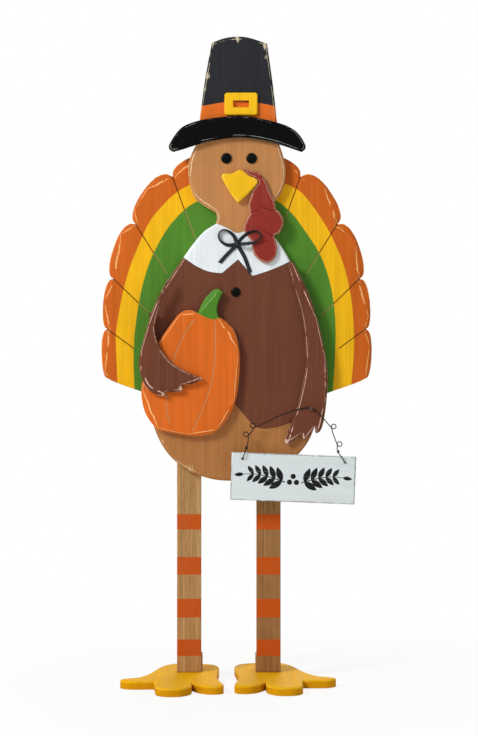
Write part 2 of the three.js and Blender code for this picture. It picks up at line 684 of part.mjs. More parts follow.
function addBow(group) {
  const wattle = wattlePlace();
  const x = wattle.x + bowOnWattleShares[0] * wattleWidth;
  const z = wattle.z + bowOnWattleShares[1] * wattleHeight;
  const toPoints = (steps) => steps.map(([across, up]) => new THREE.Vector2(across * bowUnit, up * bowUnit));
  let bow = block(-bowKnotWidth / 2, bowKnotWidth / 2, -bowKnotDepth, 0, -bowKnotHeight / 2, bowKnotHeight / 2);
  bowLoopSteps.forEach((steps) => {
    // The right loop climbs over the edge of the wattle.
    const loop = plateOf(strokeOf(toPoints(steps), ribbonThick), ribbonWidth).warp((vertex) => {
      const climb = THREE.MathUtils.smoothstep(vertex[0], 0, bowClimb);
      vertex[1] -= climb * (wattleStock + glueLine);
    });
    bow = bow.add(loop);
  });
  bowTailSteps.forEach((steps) => {
    bow = bow.add(plateOf(strokeOf(toPoints(steps), ribbonWidth), ribbonThick));
  });
  addPiece(group, 'bow_ribbon', bow, blackRibbon, x, faceBack, z);

  const button = onBody(buttonShares);
  addPiece(group, 'coat_button', domeOf(buttonDiameter), blackPaint, button.x, faceBack, button.z);
}

function pumpkinOutline() {
  return outlineOf(pumpkinRowShares, pumpkinWidth, pumpkinHeight);
}

function addPumpkin(group) {
  const { x, z } = onBody(pumpkinShares);
  let board = boardOf(pumpkinOutline(), pumpkinStock, pumpkinChamfer, chamferFall);
  board = engrave(board, pumpkinGrooveShares, pumpkinWidth, pumpkinHeight, -pumpkinStock, fineWidth, fineDepth);
  addPiece(group, 'pumpkin', board, orangePaint, x, faceBack, z);
}

function addPumpkinWing(group) {
  const { x, z } = onBody(pumpkinWingShares);
  const outline = outlineOf(pumpkinWingRowShares, pumpkinWingWidth, pumpkinWingHeight);
  addPiece(group, 'wing_over_pumpkin', boardOf(outline, wingStock, wingChamfer, smallFall), brownPaint,
    x, wingBack, z);

  // The spacer fills the gap between the shoulder of the wing and the body, clear of the pumpkin.
  const pumpkin = onBody(pumpkinShares);
  const { left, right, bottom, top } = spacerShares;
  const hug = new THREE.ExtrudeGeometry(new THREE.Shape(pumpkinOutline()), {
    depth: pumpkinStock, bevelEnabled: true, bevelThickness: overrun, bevelSize: fitClearance,
    bevelSegments: 1, steps: 1,
  });
  hug.rotateX(Math.PI / 2);
  hug.translate(pumpkin.x - x, 0, pumpkin.z - z);
  const spacer = block(left * pumpkinWingWidth, right * pumpkinWingWidth, -pumpkinStock, 0,
    bottom * pumpkinWingHeight, top * pumpkinWingHeight).subtract(solidOf(hug));
  addPiece(group, 'wing_spacer', spacer, bareWood, x, faceBack, z);
}

function addSignWing(group) {
  const { x, z } = onBody(signWingShares);
  const outline = outlineOf(signWingRowShares, signWingWidth, signWingHeight);
  const board = boardOf(outline, wingStock, wingChamfer, smallFall).subtract(nailHole(x, faceBack, z));
  addPiece(group, 'wing_with_sign', board, brownPaint, x, faceBack, z);
}

// Both feet, seen from above. The right one is the left one mirrored, set back and turned a little.
// Together they are centred on the origin, front to back.
function footOutlines() {
  const [leftX, rightX] = legCentres();
  const own = outlineOf(footRowShares, footWidth, footLength)
    .map((point) => new THREE.Vector2(point.x - footLegShare * footWidth, point.y - footLength / 2));
  const left = own.map((point) => new THREE.Vector2(leftX - point.x, point.y));
  const right = own.map((point) => point.clone().rotateAround(new THREE.Vector2(), rightFootTurn)
    .add(new THREE.Vector2(rightX - rightFootInward, rightFootBack)));
  const depths = [...left, ...right].map((point) => point.y);
  const middle = (Math.min(...depths) + Math.max(...depths)) / 2;
  return [left, right].map((outline) => outline.map((point) => new THREE.Vector2(point.x, point.y - middle)));
}

function addLegs(group) {
  ['left', 'right'].forEach((side, index) => {
    const legX = legCentres()[index];
    const legBottom = footStock + glueLine;
    const backY = legFront + legStock;
    const leg = block(-legWidth / 2, legWidth / 2, -legStock, 0, 0, legTop - legBottom);
    addPiece(group, `leg_${side}`, drill(leg, [`leg_screw_${side}`, `block_screw_${side}`], legX, backY, legBottom),
      bareWood, legX, backY, legBottom);

    const blockX = blockCentre(index);
    const blockFront = backY + glueLine;
    const support = block(-blockWidth / 2, blockWidth / 2, 0, blockDepth, 0, blockHeight);
    addPiece(group, `foot_block_${side}`,
      drill(support, [`block_screw_${side}`, `foot_screw_${side}`], blockX, blockFront, legBottom),
      bareWood, blockX, blockFront, legBottom);

    const outline = footOutlines()[index].map((point) => point.clone().setX(point.x - legX));
    const foot = boardOf(outline, footStock, footChamfer, smallFall).rotate([-90, 0, 0]);
    addPiece(group, `foot_${side}`, drill(foot, [`foot_screw_${side}`], legX, 0, 0), yellowPaint, legX, 0, 0);
  });
}

function addScrews(group) {
  screwPlaces().forEach((place) => {
    const mesh = addPiece(group, place.name, screwOf(place.length), zincSteel, place.x, place.y, place.z);
    mesh.rotation.x = place.up ? -Math.PI / 2 : 0;
  });
}

// A curve that keeps the even steps of its own points, close together in the curls.
class WireRoute extends THREE.CatmullRomCurve3 {
  getPointAt(share, target) {
    return this.getPoint(share, target);
  }

  getTangentAt(share, target) {
    return this.getTangent(share, target);
  }
}

function wirePlane(share) {
  const seat = wingFace - wireDiameter / 2 - fitClearance;
  return seat + share * (wingFace - signStandoff - seat);
}

// Where the wire passes through the left hole.
function leftSeat() {
  const span = signWidth - 2 * holeInset;
  const nail = nailPlace();
  return new THREE.Vector3(nail.x - nailRouteShares[0] * span, wirePlane(1), nail.z - nailRouteShares[1] * span);
}

// Turns about a centre from one angle over a sweep, while the wire moves from one depth to another.
function windOf(centre, radius, start, sweep, from, to, steps) {
  return Array.from({ length: steps + 1 }, (_, index) => {
    const share = index / steps;
    const angle = THREE.MathUtils.degToRad(start + sweep * share);
    return new THREE.Vector3(
      centre.x + radius * Math.cos(angle), from + share * (to - from), centre.z + radius * Math.sin(angle));
  });
}

// From the free end, wound round the rising wire, down behind the sign, through the hole and up.
function endLoop(hole, lean, winding) {
  const rise = loopRise / Math.cos(Math.abs(lean) + signTilt);
  const up = new THREE.Vector3(Math.sin(lean), 0, Math.cos(lean));
  const side = new THREE.Vector3(Math.cos(lean), 0, -Math.sin(lean));
  const place = (across, depth, height) => hole.clone()
    .addScaledVector(side, across).addScaledVector(up, height).add(new THREE.Vector3(0, depth, 0));
  const radius = wireDiameter + wireGap;
  const knotFoot = rise * 1.1;
  const wound = Array.from({ length: knotSteps + 1 }, (_, index) => {
    const turn = knotTurns * (1 - index / knotSteps);
    const angle = winding * turn * 2 * Math.PI;
    return place(radius * Math.sin(angle), radius * Math.cos(angle), knotFoot + knotPitch * turn);
  });
  const behind = loopKnotShares.map(([depth, height]) => place(0, depth * loopHalfDepth, height * rise));
  const back = loopShares.map(([depth, height]) => place(0, depth * loopHalfDepth, height * rise));
  const front = loopShares.map(([depth, height]) => place(0, -depth * loopHalfDepth, height * rise));
  const core = loopCoreShares.map(([depth, height]) => place(0, -depth * loopHalfDepth, height * rise));
  const rising = [0, knotTurns / 2, knotTurns + 1].map((share) => place(0, 0, knotFoot + knotPitch * share));
  return [...wound, ...behind.reverse(), ...back.reverse(), ...front, ...core, ...rising];
}

function wirePoints() {
  const span = signWidth - 2 * holeInset;
  const left = leftSeat();
  const right = left.clone().add(
    new THREE.Vector3(span * Math.cos(signTilt), 0, -span * Math.sin(signTilt)));
  const at = ([across, up, plane]) => new THREE.Vector3(
    left.x + across * span, wirePlane(plane), left.z + up * span);
  const curl = ({ centre, from, to, start, sweep }) => windOf(
    at([...centre, 0]), curlRadius, start, sweep, wirePlane(from), wirePlane(to), curlSteps);
  const nail = nailPlace();
  const wrapRadius = (nailDiameter + wireDiameter) / 2 + fitClearance;
  const wrapFront = wirePlane(0) - (wireDiameter + wireGap) * Math.abs(nailWrap.sweep) / fullTurn;
  const wrap = windOf(new THREE.Vector3(nail.x, 0, nail.z), wrapRadius, nailWrap.start, nailWrap.sweep,
    wirePlane(0), wrapFront, curlSteps);
  return [
    ...endLoop(left, leftLean, 1),
    ...leftRiseShares.map(at),
    ...curl(leftCurl),
    ...betweenShares.map(at),
    ...curl(upperCurl),
    ...archShares.map(at),
    ...wrap,
    ...fallShares.map(at),
    ...curl(rightCurl),
    ...dropShares.map(at),
    ...curl(lowerCurl),
    ...rightRiseShares.map(at),
    ...endLoop(right, rightLean, -1).reverse(),
  ];
}

// Smallest gap between two stretches of the wire that are not neighbours along it.
function leastSelfGap(route, count) {
  const points = Array.from({ length: count + 1 }, (_, index) => route.getPoint(index / count));
  const along = [0];
  points.slice(1).forEach((point, index) => along.push(along[index] + point.distanceTo(points[index])));
  const apart = wireDiameter * 4;
  let least = Infinity;
  points.forEach((point, index) => {
    for (let other = index + 1; other < points.length; other += 1) {
      if (along[other] - along[index] > apart) {
        least = Math.min(least, point.distanceTo(points[other]));
      }
    }
  });
  return least - wireDiameter;
}

function addWire(group) {
  const points = wirePoints();
  const route = new WireRoute(points);
  console.log(`least gap of the wire to itself: ${leastSelfGap(route, points.length * 3).toFixed(2)} mm`);
  const section = new THREE.Shape(
    new THREE.Path().absarc(0, 0, wireDiameter / 2, 0, 2 * Math.PI).getPoints(wireSides).slice(0, -1));
  const tube = new THREE.ExtrudeGeometry(section, {
    steps: points.length - 1, extrudePath: route, bevelEnabled: false,
  });
  addPiece(group, 'sign_wire', solidOf(tube), blackWire);

  const nail = nailPlace();
  const shank = nailDiameter / 2;
  const capBack = wirePlane(0) - wireDiameter * 2 - wireGap - fitClearance;
  const tip = bodyFront + nailBite;
  const profile = [[0, capBack - nailHeadHeight], [nailHead / 2, capBack - nailHeadHeight / 2],
    [nailHead / 2, capBack], [shank, capBack], [shank, tip - nailDiameter], [0, tip]];
  addPiece(group, 'wire_nail', turned(profile), zincSteel, nail.x, 0, nail.z);
}

function addSign(group) {
  const seat = leftSeat();
  const outline = [[-holeInset, holeDrop - signHeight], [signWidth - holeInset, holeDrop - signHeight],
    [signWidth - holeInset, holeDrop], [-holeInset, holeDrop]].map(([x, y]) => new THREE.Vector2(x, y));
  const front = -signStock - overrun;
  const bore = turned([[0, front], [holeDiameter / 2, front], [holeDiameter / 2, overrun], [0, overrun]]);
  const board = boardOf(outline, signStock, signEdge, signEdge)
    .subtract(bore)
    .subtract(bore.translate([signWidth - 2 * holeInset, 0, 0]))
    .translate([0, signStock / 2, -wireSeat]);
  const mesh = addPiece(group, 'sign_board', board, whitePaint, seat.x, seat.y, seat.z);
  mesh.rotation.y = signTilt;
}

function buildTurkey() {
  const turkey = new THREE.Group();
  addFan(turkey);
  addBody(turkey);
  addHat(turkey);
  addFace(turkey);
  addBow(turkey);
  addPumpkin(turkey);
  addPumpkinWing(turkey);
  addSignWing(turkey);
  addLegs(turkey);
  addScrews(turkey);
  addWire(turkey);
  addSign(turkey);
  return turkey;
}

export default buildTurkey();
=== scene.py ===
from functools import partial
from math import pi, radians

import bpy
import numpy as np
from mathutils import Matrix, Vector
from mathutils.geometry import delaunay_2d_cdt


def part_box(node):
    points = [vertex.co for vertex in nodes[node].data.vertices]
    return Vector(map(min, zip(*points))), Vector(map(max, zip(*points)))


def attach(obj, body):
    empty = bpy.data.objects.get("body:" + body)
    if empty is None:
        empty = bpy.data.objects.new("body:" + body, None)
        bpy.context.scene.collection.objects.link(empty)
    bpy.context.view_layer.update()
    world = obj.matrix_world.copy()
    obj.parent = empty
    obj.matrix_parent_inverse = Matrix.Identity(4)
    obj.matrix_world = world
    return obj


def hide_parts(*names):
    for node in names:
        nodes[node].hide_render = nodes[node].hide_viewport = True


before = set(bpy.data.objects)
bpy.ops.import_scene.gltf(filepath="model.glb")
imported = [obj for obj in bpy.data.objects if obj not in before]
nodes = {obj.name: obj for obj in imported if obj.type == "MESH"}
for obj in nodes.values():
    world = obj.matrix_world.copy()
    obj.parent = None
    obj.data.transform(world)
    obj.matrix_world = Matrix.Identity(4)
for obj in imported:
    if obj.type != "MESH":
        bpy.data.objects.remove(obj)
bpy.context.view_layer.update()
scene = bpy.context.scene
mm = 0.001

# Camera: straight on, level with the turkey's throat, 2.44 m in front of it
shot = dict(focalPixels=1731.0, frameHeight=736, place=(0.0035, -2.442, 0.4449))
camera = bpy.data.cameras.new("shotCamera")
camera.sensor_fit = "VERTICAL"
camera.sensor_height = 24.0
camera.lens = camera.sensor_height * shot["focalPixels"] / shot["frameHeight"]
camera.clip_end = 60
cameraObject = bpy.data.objects.new("shotCamera", camera)
scene.collection.objects.link(cameraObject)
cameraObject.location = shot["place"]
cameraObject.rotation_euler = (pi / 2, 0, 0)
scene.camera = cameraObject
scene.view_settings.view_transform = "Standard"


def linear(hexText):
    # sRGB hex to linear light: v / 12.92 below 0.04045, else ((v + 0.055) / 1.055) ^ 2.4
    values = np.array([int(hexText[i:i + 2], 16) / 255 for i in (1, 3, 5)])
    values = np.where(values <= 0.04045, values / 12.92, ((values + 0.055) / 1.055) ** 2.4)
    return (*values.tolist(), 1.0)


def feed(node, key, value):
    # An input is fed by a plain value, a socket, or a node, whose first live output is then linked
    if isinstance(value, bpy.types.Node):
        value = next(socket for socket in value.outputs if socket.enabled)
    if isinstance(value, bpy.types.NodeSocket):
        node.id_data.links.new(value, node.inputs[key])
    else:
        node.inputs[key].default_value = value


usualSettings = {"Mix": dict(data_type="RGBA")}


def addNode(tree, kind, inputs=None, **settings):
    # One shader node with its settings and links
    node = tree.nodes.new("ShaderNode" + kind)
    for key, value in (settings or usualSettings.get(kind, {})).items():
        setattr(node, key, value)
    for key, value in (inputs or {}).items():
        feed(node, key, value)
    return node


def newMaterial(name, colourHex, values=None):
    # A material, what adds a node to it, and its shader
    material = bpy.data.materials.new(name)
    material.use_nodes = True
    material.diffuse_color = linear(colourHex)
    material.node_tree.nodes.clear()
    add = partial(addNode, material.node_tree)
    shader = add("BsdfPrincipled", {"Base Color": linear(colourHex), **(values or {})})
    add("OutputMaterial", {"Surface": shader})
    return material, add, shader


# Studio: one large soft lamp from the upper left, a weaker one from the right, a pale room
studio = dict(
    room=0.34, keyWatts=85, keySize=0.9, keyPlace=(-2.2, -2.05, 2.3), fillWatts=6, fillSize=1.8,
    fillPlace=(2.2, -2.4, 1.0), backWatts=30, backSize=1.6, backPlace=(0.6, 2.4, 1.9), aim=(0, 0, 0.45))
world = bpy.data.worlds.new("paleRoom")
scene.world = world
world.use_nodes = True
world.node_tree.nodes.clear()
add = partial(addNode, world.node_tree)
ray = add("LightPath")
seen = add("Math", {0: ray.outputs["Is Camera Ray"], 1: ray.outputs["Is Glossy Ray"]}, operation="MAXIMUM")
level = add("MapRange", {"Value": seen, "To Min": studio["room"], "To Max": 1.0})
room = add("Background", {"Color": (1, 1, 1, 1), "Strength": level})
add("OutputWorld", {"Surface": room})
for key in ("key", "fill", "back"):
    lamp = bpy.data.lights.new(key + "Lamp", "AREA")
    lamp.size = studio[key + "Size"]
    lamp.energy = studio[key + "Watts"]
    lampObject = bpy.data.objects.new(key + "Lamp", lamp)
    scene.collection.objects.link(lampObject)
    lampObject.location = studio[key + "Place"]
    towards = Vector(studio["aim"]) - Vector(studio[key + "Place"])
    lampObject.rotation_euler = towards.to_track_quat("-Z", "Y").to_euler()

# Floor: matt paper that the camera sees whiter and whiter away from the feet
floor = dict(reach=14.0, paper="#f4f4f2", whitened=0.83, near=0.22, far=0.6)
paper, add, shader = newMaterial("seamlessPaper", floor["paper"], {"Roughness": 0.9})
ray = add("LightPath")
place = add("TexCoord").outputs["Object"]
away = add("VectorMath", {0: place}, operation="LENGTH").outputs["Value"]
whitened = add("MapRange", {
    "Value": away, "From Min": floor["near"], "From Max": floor["far"], "To Min": floor["whitened"],
    "To Max": 1.0})
share = add("Math", {0: ray.outputs["Is Camera Ray"], 1: whitened}, operation="MULTIPLY")
glow = add("Emission", {"Color": (1, 1, 1, 1), "Strength": 1.0})
both = add("MixShader", {0: share, 1: shader, 2: glow})
feed(next(node for node in paper.node_tree.nodes if node.type == "OUTPUT_MATERIAL"), "Surface", both)
corners = floor["reach"] * np.array([(-1, -1, 0), (1, -1, 0), (1, 1, 0), (-1, 1, 0)])
floorMesh = bpy.data.meshes.new("studioFloor")
floorMesh.from_pydata(corners.tolist(), [], [(0, 1, 2, 3)])
floorMesh.materials.append(paper)
studioFloor = bpy.data.objects.new("studioFloor", floorMesh)
scene.collection.objects.link(studioFloor)
print("camera, lamps and floor")


# Shapes in the plane and in space

def smoothPath(points, spacing, cornerAngle=40, closed=True):
    # Catmull-Rom from b to c, (2b + (c-a)t + (2a-5b+4c-d)t^2 + (3b-a-3c+d)t^3) / 2, broken at each corner
    points = np.asarray(points, float)
    count = len(points)
    order = np.arange(count if closed else count - 1)
    b, c = points[order], points[(order + 1) % count]
    before, after = points - np.roll(points, 1, 0), np.roll(points, -1, 0) - points
    lengths = np.linalg.norm(before, axis=1) * np.linalg.norm(after, axis=1)
    sharp = (before * after).sum(1) / np.maximum(lengths, 1e-9) < np.cos(radians(cornerAngle))
    if not closed:
        sharp[[0, -1]] = True
    a = np.where(sharp[order][:, None], 2 * b - c, points[(order - 1) % count])
    d = np.where(sharp[(order + 1) % count][:, None], 2 * c - b, points[(order + 2) % count])
    steps = np.maximum(1, np.ceil(np.linalg.norm(c - b, axis=1) / spacing)).astype(int)
    piece = np.repeat(np.arange(len(order)), steps)
    t = ((np.arange(steps.sum()) - np.repeat(np.cumsum(steps) - steps, steps)) / steps[piece])[:, None]
    a, b, c, d = a[piece], b[piece], c[piece], d[piece]
    path = 2 * b + (c - a) * t + (2 * a - 5 * b + 4 * c - d) * t ** 2 + (3 * b - a - 3 * c + d) * t ** 3
    return path / 2 if closed else np.vstack([path / 2, points[-1:]])


def segmentDistance(points, starts, ends):
    # Least |p - s - t(e - s)| with t clamped to 0..1, and the number of the segment that it belongs to
    along = ends - starts
    square = np.maximum((along ** 2).sum(1), 1e-12)
    gaps, nearest = [], []
    for part in np.array_split(points, max(1, len(points) * len(starts) // 800000)):
        away = part[:, None] - starts
        t = np.clip((away * along).sum(2) / square, 0, 1)
        gap = ((away - t[..., None] * along) ** 2).sum(2)
        nearest.append(gap.argmin(1))
        gaps.append(np.sqrt(gap.min(1)))
    return np.concatenate(gaps), np.concatenate(nearest)


def loopDistance(points, loop):
    # The same for the edges of a closed loop
    return segmentDistance(points, loop, np.roll(loop, -1, 0))


def isInside(points, loop):
    # A line to the right of the point crosses the loop an odd number of times
    start, end = loop, np.roll(loop, -1, 0)
    rise = np.where(end[:, 1] == start[:, 1], 1e-12, end[:, 1] - start[:, 1])
    slope = (end[:, 0] - start[:, 0]) / rise
    found = []
    for part in np.array_split(points, max(1, len(points) * len(loop) // 2000000)):
        x, y = part[:, 0, None], part[:, 1, None]
        crosses = ((start[:, 1] > y) != (end[:, 1] > y)) & (x < start[:, 0] + slope * (y - start[:, 1]))
        found.append(crosses.sum(1) % 2 == 1)
    return np.concatenate(found)


def nearestOf(points, among):
    # The number of the one among the others that is closest to each point
    parts = np.array_split(points, max(1, len(points) * len(among) // 2000000))
    return np.concatenate([((part[:, None] - among) ** 2).sum(2).argmin(1) for part in parts])


def triangulate(points, edges, outer, holes):
    # Triangles that keep the given edges, inside the outer loop and outside the holes
    plane, _, faces, _, _, _ = delaunay_2d_cdt([Vector(p) for p in points], edges.tolist(), [], 0, 1e-4)
    plane, faces = np.array([p[:] for p in plane]), np.array(faces)
    middle = plane[faces].mean(1)
    keep = isInside(middle, outer)
    for hole in holes:
        keep &= ~isInside(middle, hole)
    a, b, c = plane[faces].transpose(1, 0, 2)
    keep &= np.abs((b - a)[:, 0] * (c - a)[:, 1] - (b - a)[:, 1] * (c - a)[:, 0]) > 1e-6
    return plane, faces[keep]


def ringEdges(count, first=0):
    # Edges i to i + 1 round a ring of so many points
    here = np.arange(count)
    return np.stack([here, (here + 1) % count], 1) + first


def oriented(loop, leftTurning):
    # The loop turns left where the sum of its cross products is positive
    x, y = loop.T
    turnsLeft = (x * np.roll(y, -1) - np.roll(x, -1) * y).sum() > 0
    return loop if turnsLeft == leftTurning else loop[::-1]


def merged(mesh, digits):
    # The mesh's points in mm, each of them once, and its triangles
    places = np.empty(len(mesh.vertices) * 3)
    mesh.vertices.foreach_get("co", places)
    places, joined = np.unique(np.round(places.reshape(-1, 3) / mm, digits), axis=0, return_inverse=True)
    mesh.calc_loop_triangles()
    faces = np.empty(len(mesh.loop_triangles) * 3, int)
    mesh.loop_triangles.foreach_get("vertices", faces)
    return places, joined.ravel()[faces].reshape(-1, 3)


def cadBack(node, axis, way):
    # The edge loops of a CAD board's flat back, in its plane, and the depths of its front and back, in mm
    places, faces = merged(nodes[node].data, 3)
    depth = places[:, axis] * way
    faces = faces[(np.abs(depth[faces] - depth.max()) < 0.02).all(1)]
    edges = set(map(tuple, np.concatenate([faces[:, [0, 1]], faces[:, [1, 2]], faces[:, [2, 0]]]).tolist()))
    follow = {a: b for a, b in edges if (b, a) not in edges}
    loops = []
    while follow:
        loop = [next(iter(follow))]
        while loop[-1] in follow:
            loop.append(follow.pop(loop[-1]))
        loops.append(np.delete(places[loop[:-1]], axis, 1))
    loops.sort(key=lambda loop: -np.ptp(loop[:, 0]) * np.ptp(loop[:, 1]))
    return loops, depth.min() * way, depth.max() * way


def meshOf(name, places, faces, values=None, materialIndex=None, sharpAngle=30):
    # A smooth mesh from places in mm, with edges over the angle kept sharp and its values at the points
    mesh = bpy.data.meshes.new(name)
    mesh.from_pydata((np.asarray(places) * mm).tolist(), [], faces)
    mesh.polygons.foreach_set("use_smooth", np.ones(len(faces), bool))
    if materialIndex is not None:
        mesh.polygons.foreach_set("material_index", materialIndex)
    for key, value in (values or {}).items():
        mesh.attributes.new(key, "FLOAT", "POINT").data.foreach_set("value", np.asarray(value, np.float32))
    mesh.update()
    mesh.set_sharp_from_angle(angle=radians(sharpAngle))
    piece = bpy.data.objects.new(name, mesh)
    scene.collection.objects.link(piece)
    return piece


def chamferAlong(outline, height, look):
    # The chamfer's width changes from one stroke of the block to the next. A stroke ends at a corner, and it
    # is straight, so it cuts off what bulges past the chord between its ends.
    random = np.random.default_rng(look["seed"])
    reached, leaving = outline - np.roll(outline, 1, 0), np.roll(outline, -1, 0) - outline
    travel = np.cumsum(np.linalg.norm(leaving, axis=1))
    strokes = np.cumsum(random.uniform(*look["strokes"], int(travel[-1] / 10) + 4))
    strokes = strokes[strokes < travel[-1]]
    across = reached[:, 0] * leaving[:, 1] - reached[:, 1] * leaving[:, 0]
    corners = travel[np.abs(np.arctan2(across, (reached * leaving).sum(1))) > radians(22)]
    if "planed" in look and len(corners):
        strokes = strokes[np.abs(strokes[:, None] - corners).min(1) > look["strokes"][0] / 2]
        strokes = np.sort(np.concatenate([strokes, corners]))
    widths = random.uniform(1 - look["sanding"], 1 + look["sanding"], len(strokes))
    chamfer = np.full(len(outline), float(look["chamfer"]))
    if len(strokes) > 2:
        chamfer *= np.interp(travel, strokes, widths, period=travel[-1])
    if "planed" in look:
        ends = outline[np.searchsorted(travel, strokes)]
        number = np.searchsorted(strokes, travel)
        begin, chord = ends[number - 1], ends[number % len(ends)] - ends[number - 1]
        past = (outline - begin)[:, 0] * chord[:, 1] - (outline - begin)[:, 1] * chord[:, 0]
        chamfer += np.clip(past / np.maximum(np.linalg.norm(chord, axis=1), 1e-6), 0, look["planed"])
    if "squareBelow" in look:      # the lower edge is sawn square
        chamfer *= np.where(height < look["squareBelow"], 0.2, 1.0)
    return chamfer


# What a board has where its own dictionary says nothing, in mm. Lines, zones and worn places are in shares of
# the outline's width and height, unless unit gives another origin and size.
usualBoard = dict(
    turn=0.0, trim=(1.0, 1.0), spacing=2.0, soften=0, through=False, bore=1.0, boreLift=(0.0, 0.0),
    holeShadeRim=1.0, strokes=(12, 38), sanding=0.0, pitch=6.0, grooveSize=(2.0, 1.1), grooves=[], zones={},
    inlay=[], recess=2.4, worn=[], wornLength=1.0, rimEase=0.35, rimReach=0.7, holeEase=0.3, backEase=0.4)


def boardOver(node, name, look, axis=1, way=1):
    # A board on the outline of its CAD node. At a distance d from the edge its front is
    # fall * (s + sqrt(s^2 + 0.012)) / 2 deep, with s = 1 - d / c and c the width of the hand-sanded chamfer.
    # The rim is eased by ease * (1 - d / reach)^2. A groove is depth * (1 - 2g / width) deep at g from it.
    look = {**usualBoard, **look}
    loops, front, back = cadBack(node, axis, way)
    turn = look["turn"]
    twist = np.array([[np.cos(turn), -np.sin(turn)], [np.sin(turn), np.cos(turn)]])
    middle = loops[0].mean(0)
    loops = [(loop - middle) @ twist.T + middle for loop in loops]
    heel = np.array([middle[0], loops[0][:, 1].min()])
    outline = oriented(smoothPath((loops[0] - heel) * look["trim"] + heel, look["spacing"]), True)
    for _ in range(look["soften"]):
        outline = (np.roll(outline, 1, 0) + 2 * outline + np.roll(outline, -1, 0)) / 4
    bored = [(loop - loop.mean(0)) * look["bore"] + loop.mean(0) + look["boreLift"] for loop in loops[1:]]
    holes = [oriented(smoothPath(loop, 0.5), False) for loop in bored]
    throughHoles = holes if look["through"] else []
    low, span = (np.array(part) for part in look.get("unit", (outline.min(0), np.ptp(outline, axis=0))))
    count = len(outline)
    tangent = np.roll(outline, -1, 0) - np.roll(outline, 1, 0)
    inward = np.stack([-tangent[:, 1], tangent[:, 0]], 1) / np.linalg.norm(tangent, axis=1)[:, None]
    chamfer = chamferAlong(outline, (outline[:, 1] - low[1]) / span[1], look)

    grooveWidth, grooveDepth = look["grooveSize"]
    grooves = [smoothPath(low + np.array(rows) * span, 1.5, 60, closed=False) for rows in look["grooves"]]
    zones = {zone: smoothPath(low + np.array(rows) * span, 2.5) for zone, rows in look["zones"].items()}
    inlay = [smoothPath(rows * span + low, 0.8) for rows in look["inlay"]]
    if inlay:      # a dark ring of ink round each hole: painted shade, so the hole reads dark
        inlay += [(hole - hole.mean(0)) * look["holeShadeRim"] + hole.mean(0) for hole in holes]

    def grooveDistance(points):
        # Distance to the nearest engraved line, or far
        if not grooves:
            return np.full(len(points), 99.0)
        starts, ends = (np.concatenate([line[part] for line in grooves])
                        for part in (slice(None, -1), slice(1, None)))
        return segmentDistance(points, starts, ends)[0]

    points, edges, total = [outline], [ringEdges(count)], count

    def addLine(line, keep, closed):
        # Kept points, and the edges between neighbours that are both kept
        nonlocal total
        number = np.cumsum(keep) - 1 + total
        here = np.arange(len(line) if closed else len(line) - 1)
        after = (here + 1) % len(line)
        both = keep[here] & keep[after]
        edges.append(np.stack([number[here][both], number[after][both]], 1))
        points.append(line[keep])
        total += int(keep.sum())

    for width in [np.full(count, 0.3)] + [chamfer * share for share in (0.5, 0.86, 1.0, 1.14, 1.6)]:
        ring = outline + inward * width[:, None]
        clear = loopDistance(ring, outline)[0] > width - 0.1
        addLine(ring, isInside(ring, outline) & clear & (grooveDistance(ring) > grooveWidth * 0.7), True)
    for line in grooves:
        ahead = np.gradient(line, axis=0)
        side = np.stack([-ahead[:, 1], ahead[:, 0]], 1) / np.linalg.norm(ahead, axis=1)[:, None]
        for offset in (0, -0.5, 0.5):
            moved = line + side * grooveWidth * offset
            clear = isInside(moved, outline) & (loopDistance(moved, outline)[0] > 0.25)
            near = np.abs(grooveDistance(moved) - abs(offset) * grooveWidth) < 0.1
            addLine(moved, clear & near, False)
    for loop in zones.values():
        gap, nearest = loopDistance(loop, outline)
        clear = (gap > chamfer[nearest] * 1.7) & (grooveDistance(loop) > grooveWidth)
        addLine(loop, isInside(loop, outline) & clear, True)
    for loop in throughHoles + inlay:
        addLine(loop, np.ones(len(loop), bool), True)

    # Points between the lines, in staggered rows
    pitch = look["pitch"]
    rows = np.arange(outline[:, 1].min(), outline[:, 1].max(), pitch * 0.866)
    columns = np.arange(outline[:, 0].min(), outline[:, 0].max(), pitch)
    grid = np.stack([columns[None] + (np.arange(len(rows)) % 2)[:, None] * pitch / 2,
                     np.broadcast_to(rows[:, None], (len(rows), len(columns)))], 2).reshape(-1, 2)
    gap, nearest = loopDistance(grid, outline)
    keep = isInside(grid, outline) & (gap > chamfer[nearest] * 1.6 + pitch * 0.4)
    keep &= grooveDistance(grid) > grooveWidth
    for loop in [*zones.values(), *throughHoles, *inlay]:
        keep &= loopDistance(grid, loop)[0] > pitch * 0.35
    points.append(grid[keep])
    plane, faces = triangulate(np.concatenate(points), np.concatenate(edges), outline, throughHoles)

    gap, nearest = loopDistance(plane, outline)
    share = gap / chamfer[nearest]
    slope = 1 - share
    depth = look["fall"] * 0.5 * (slope + np.sqrt(slope ** 2 + 0.012))
    depth += look["rimEase"] * np.clip(1 - gap / look["rimReach"], 0, 1) ** 2
    depth += grooveDepth * np.clip(1 - grooveDistance(plane) * 2 / grooveWidth, 0, 1)
    for loop in throughHoles:
        depth += look["holeEase"] * np.clip(1 - loopDistance(plane, loop)[0] / 0.5, 0, 1) ** 2

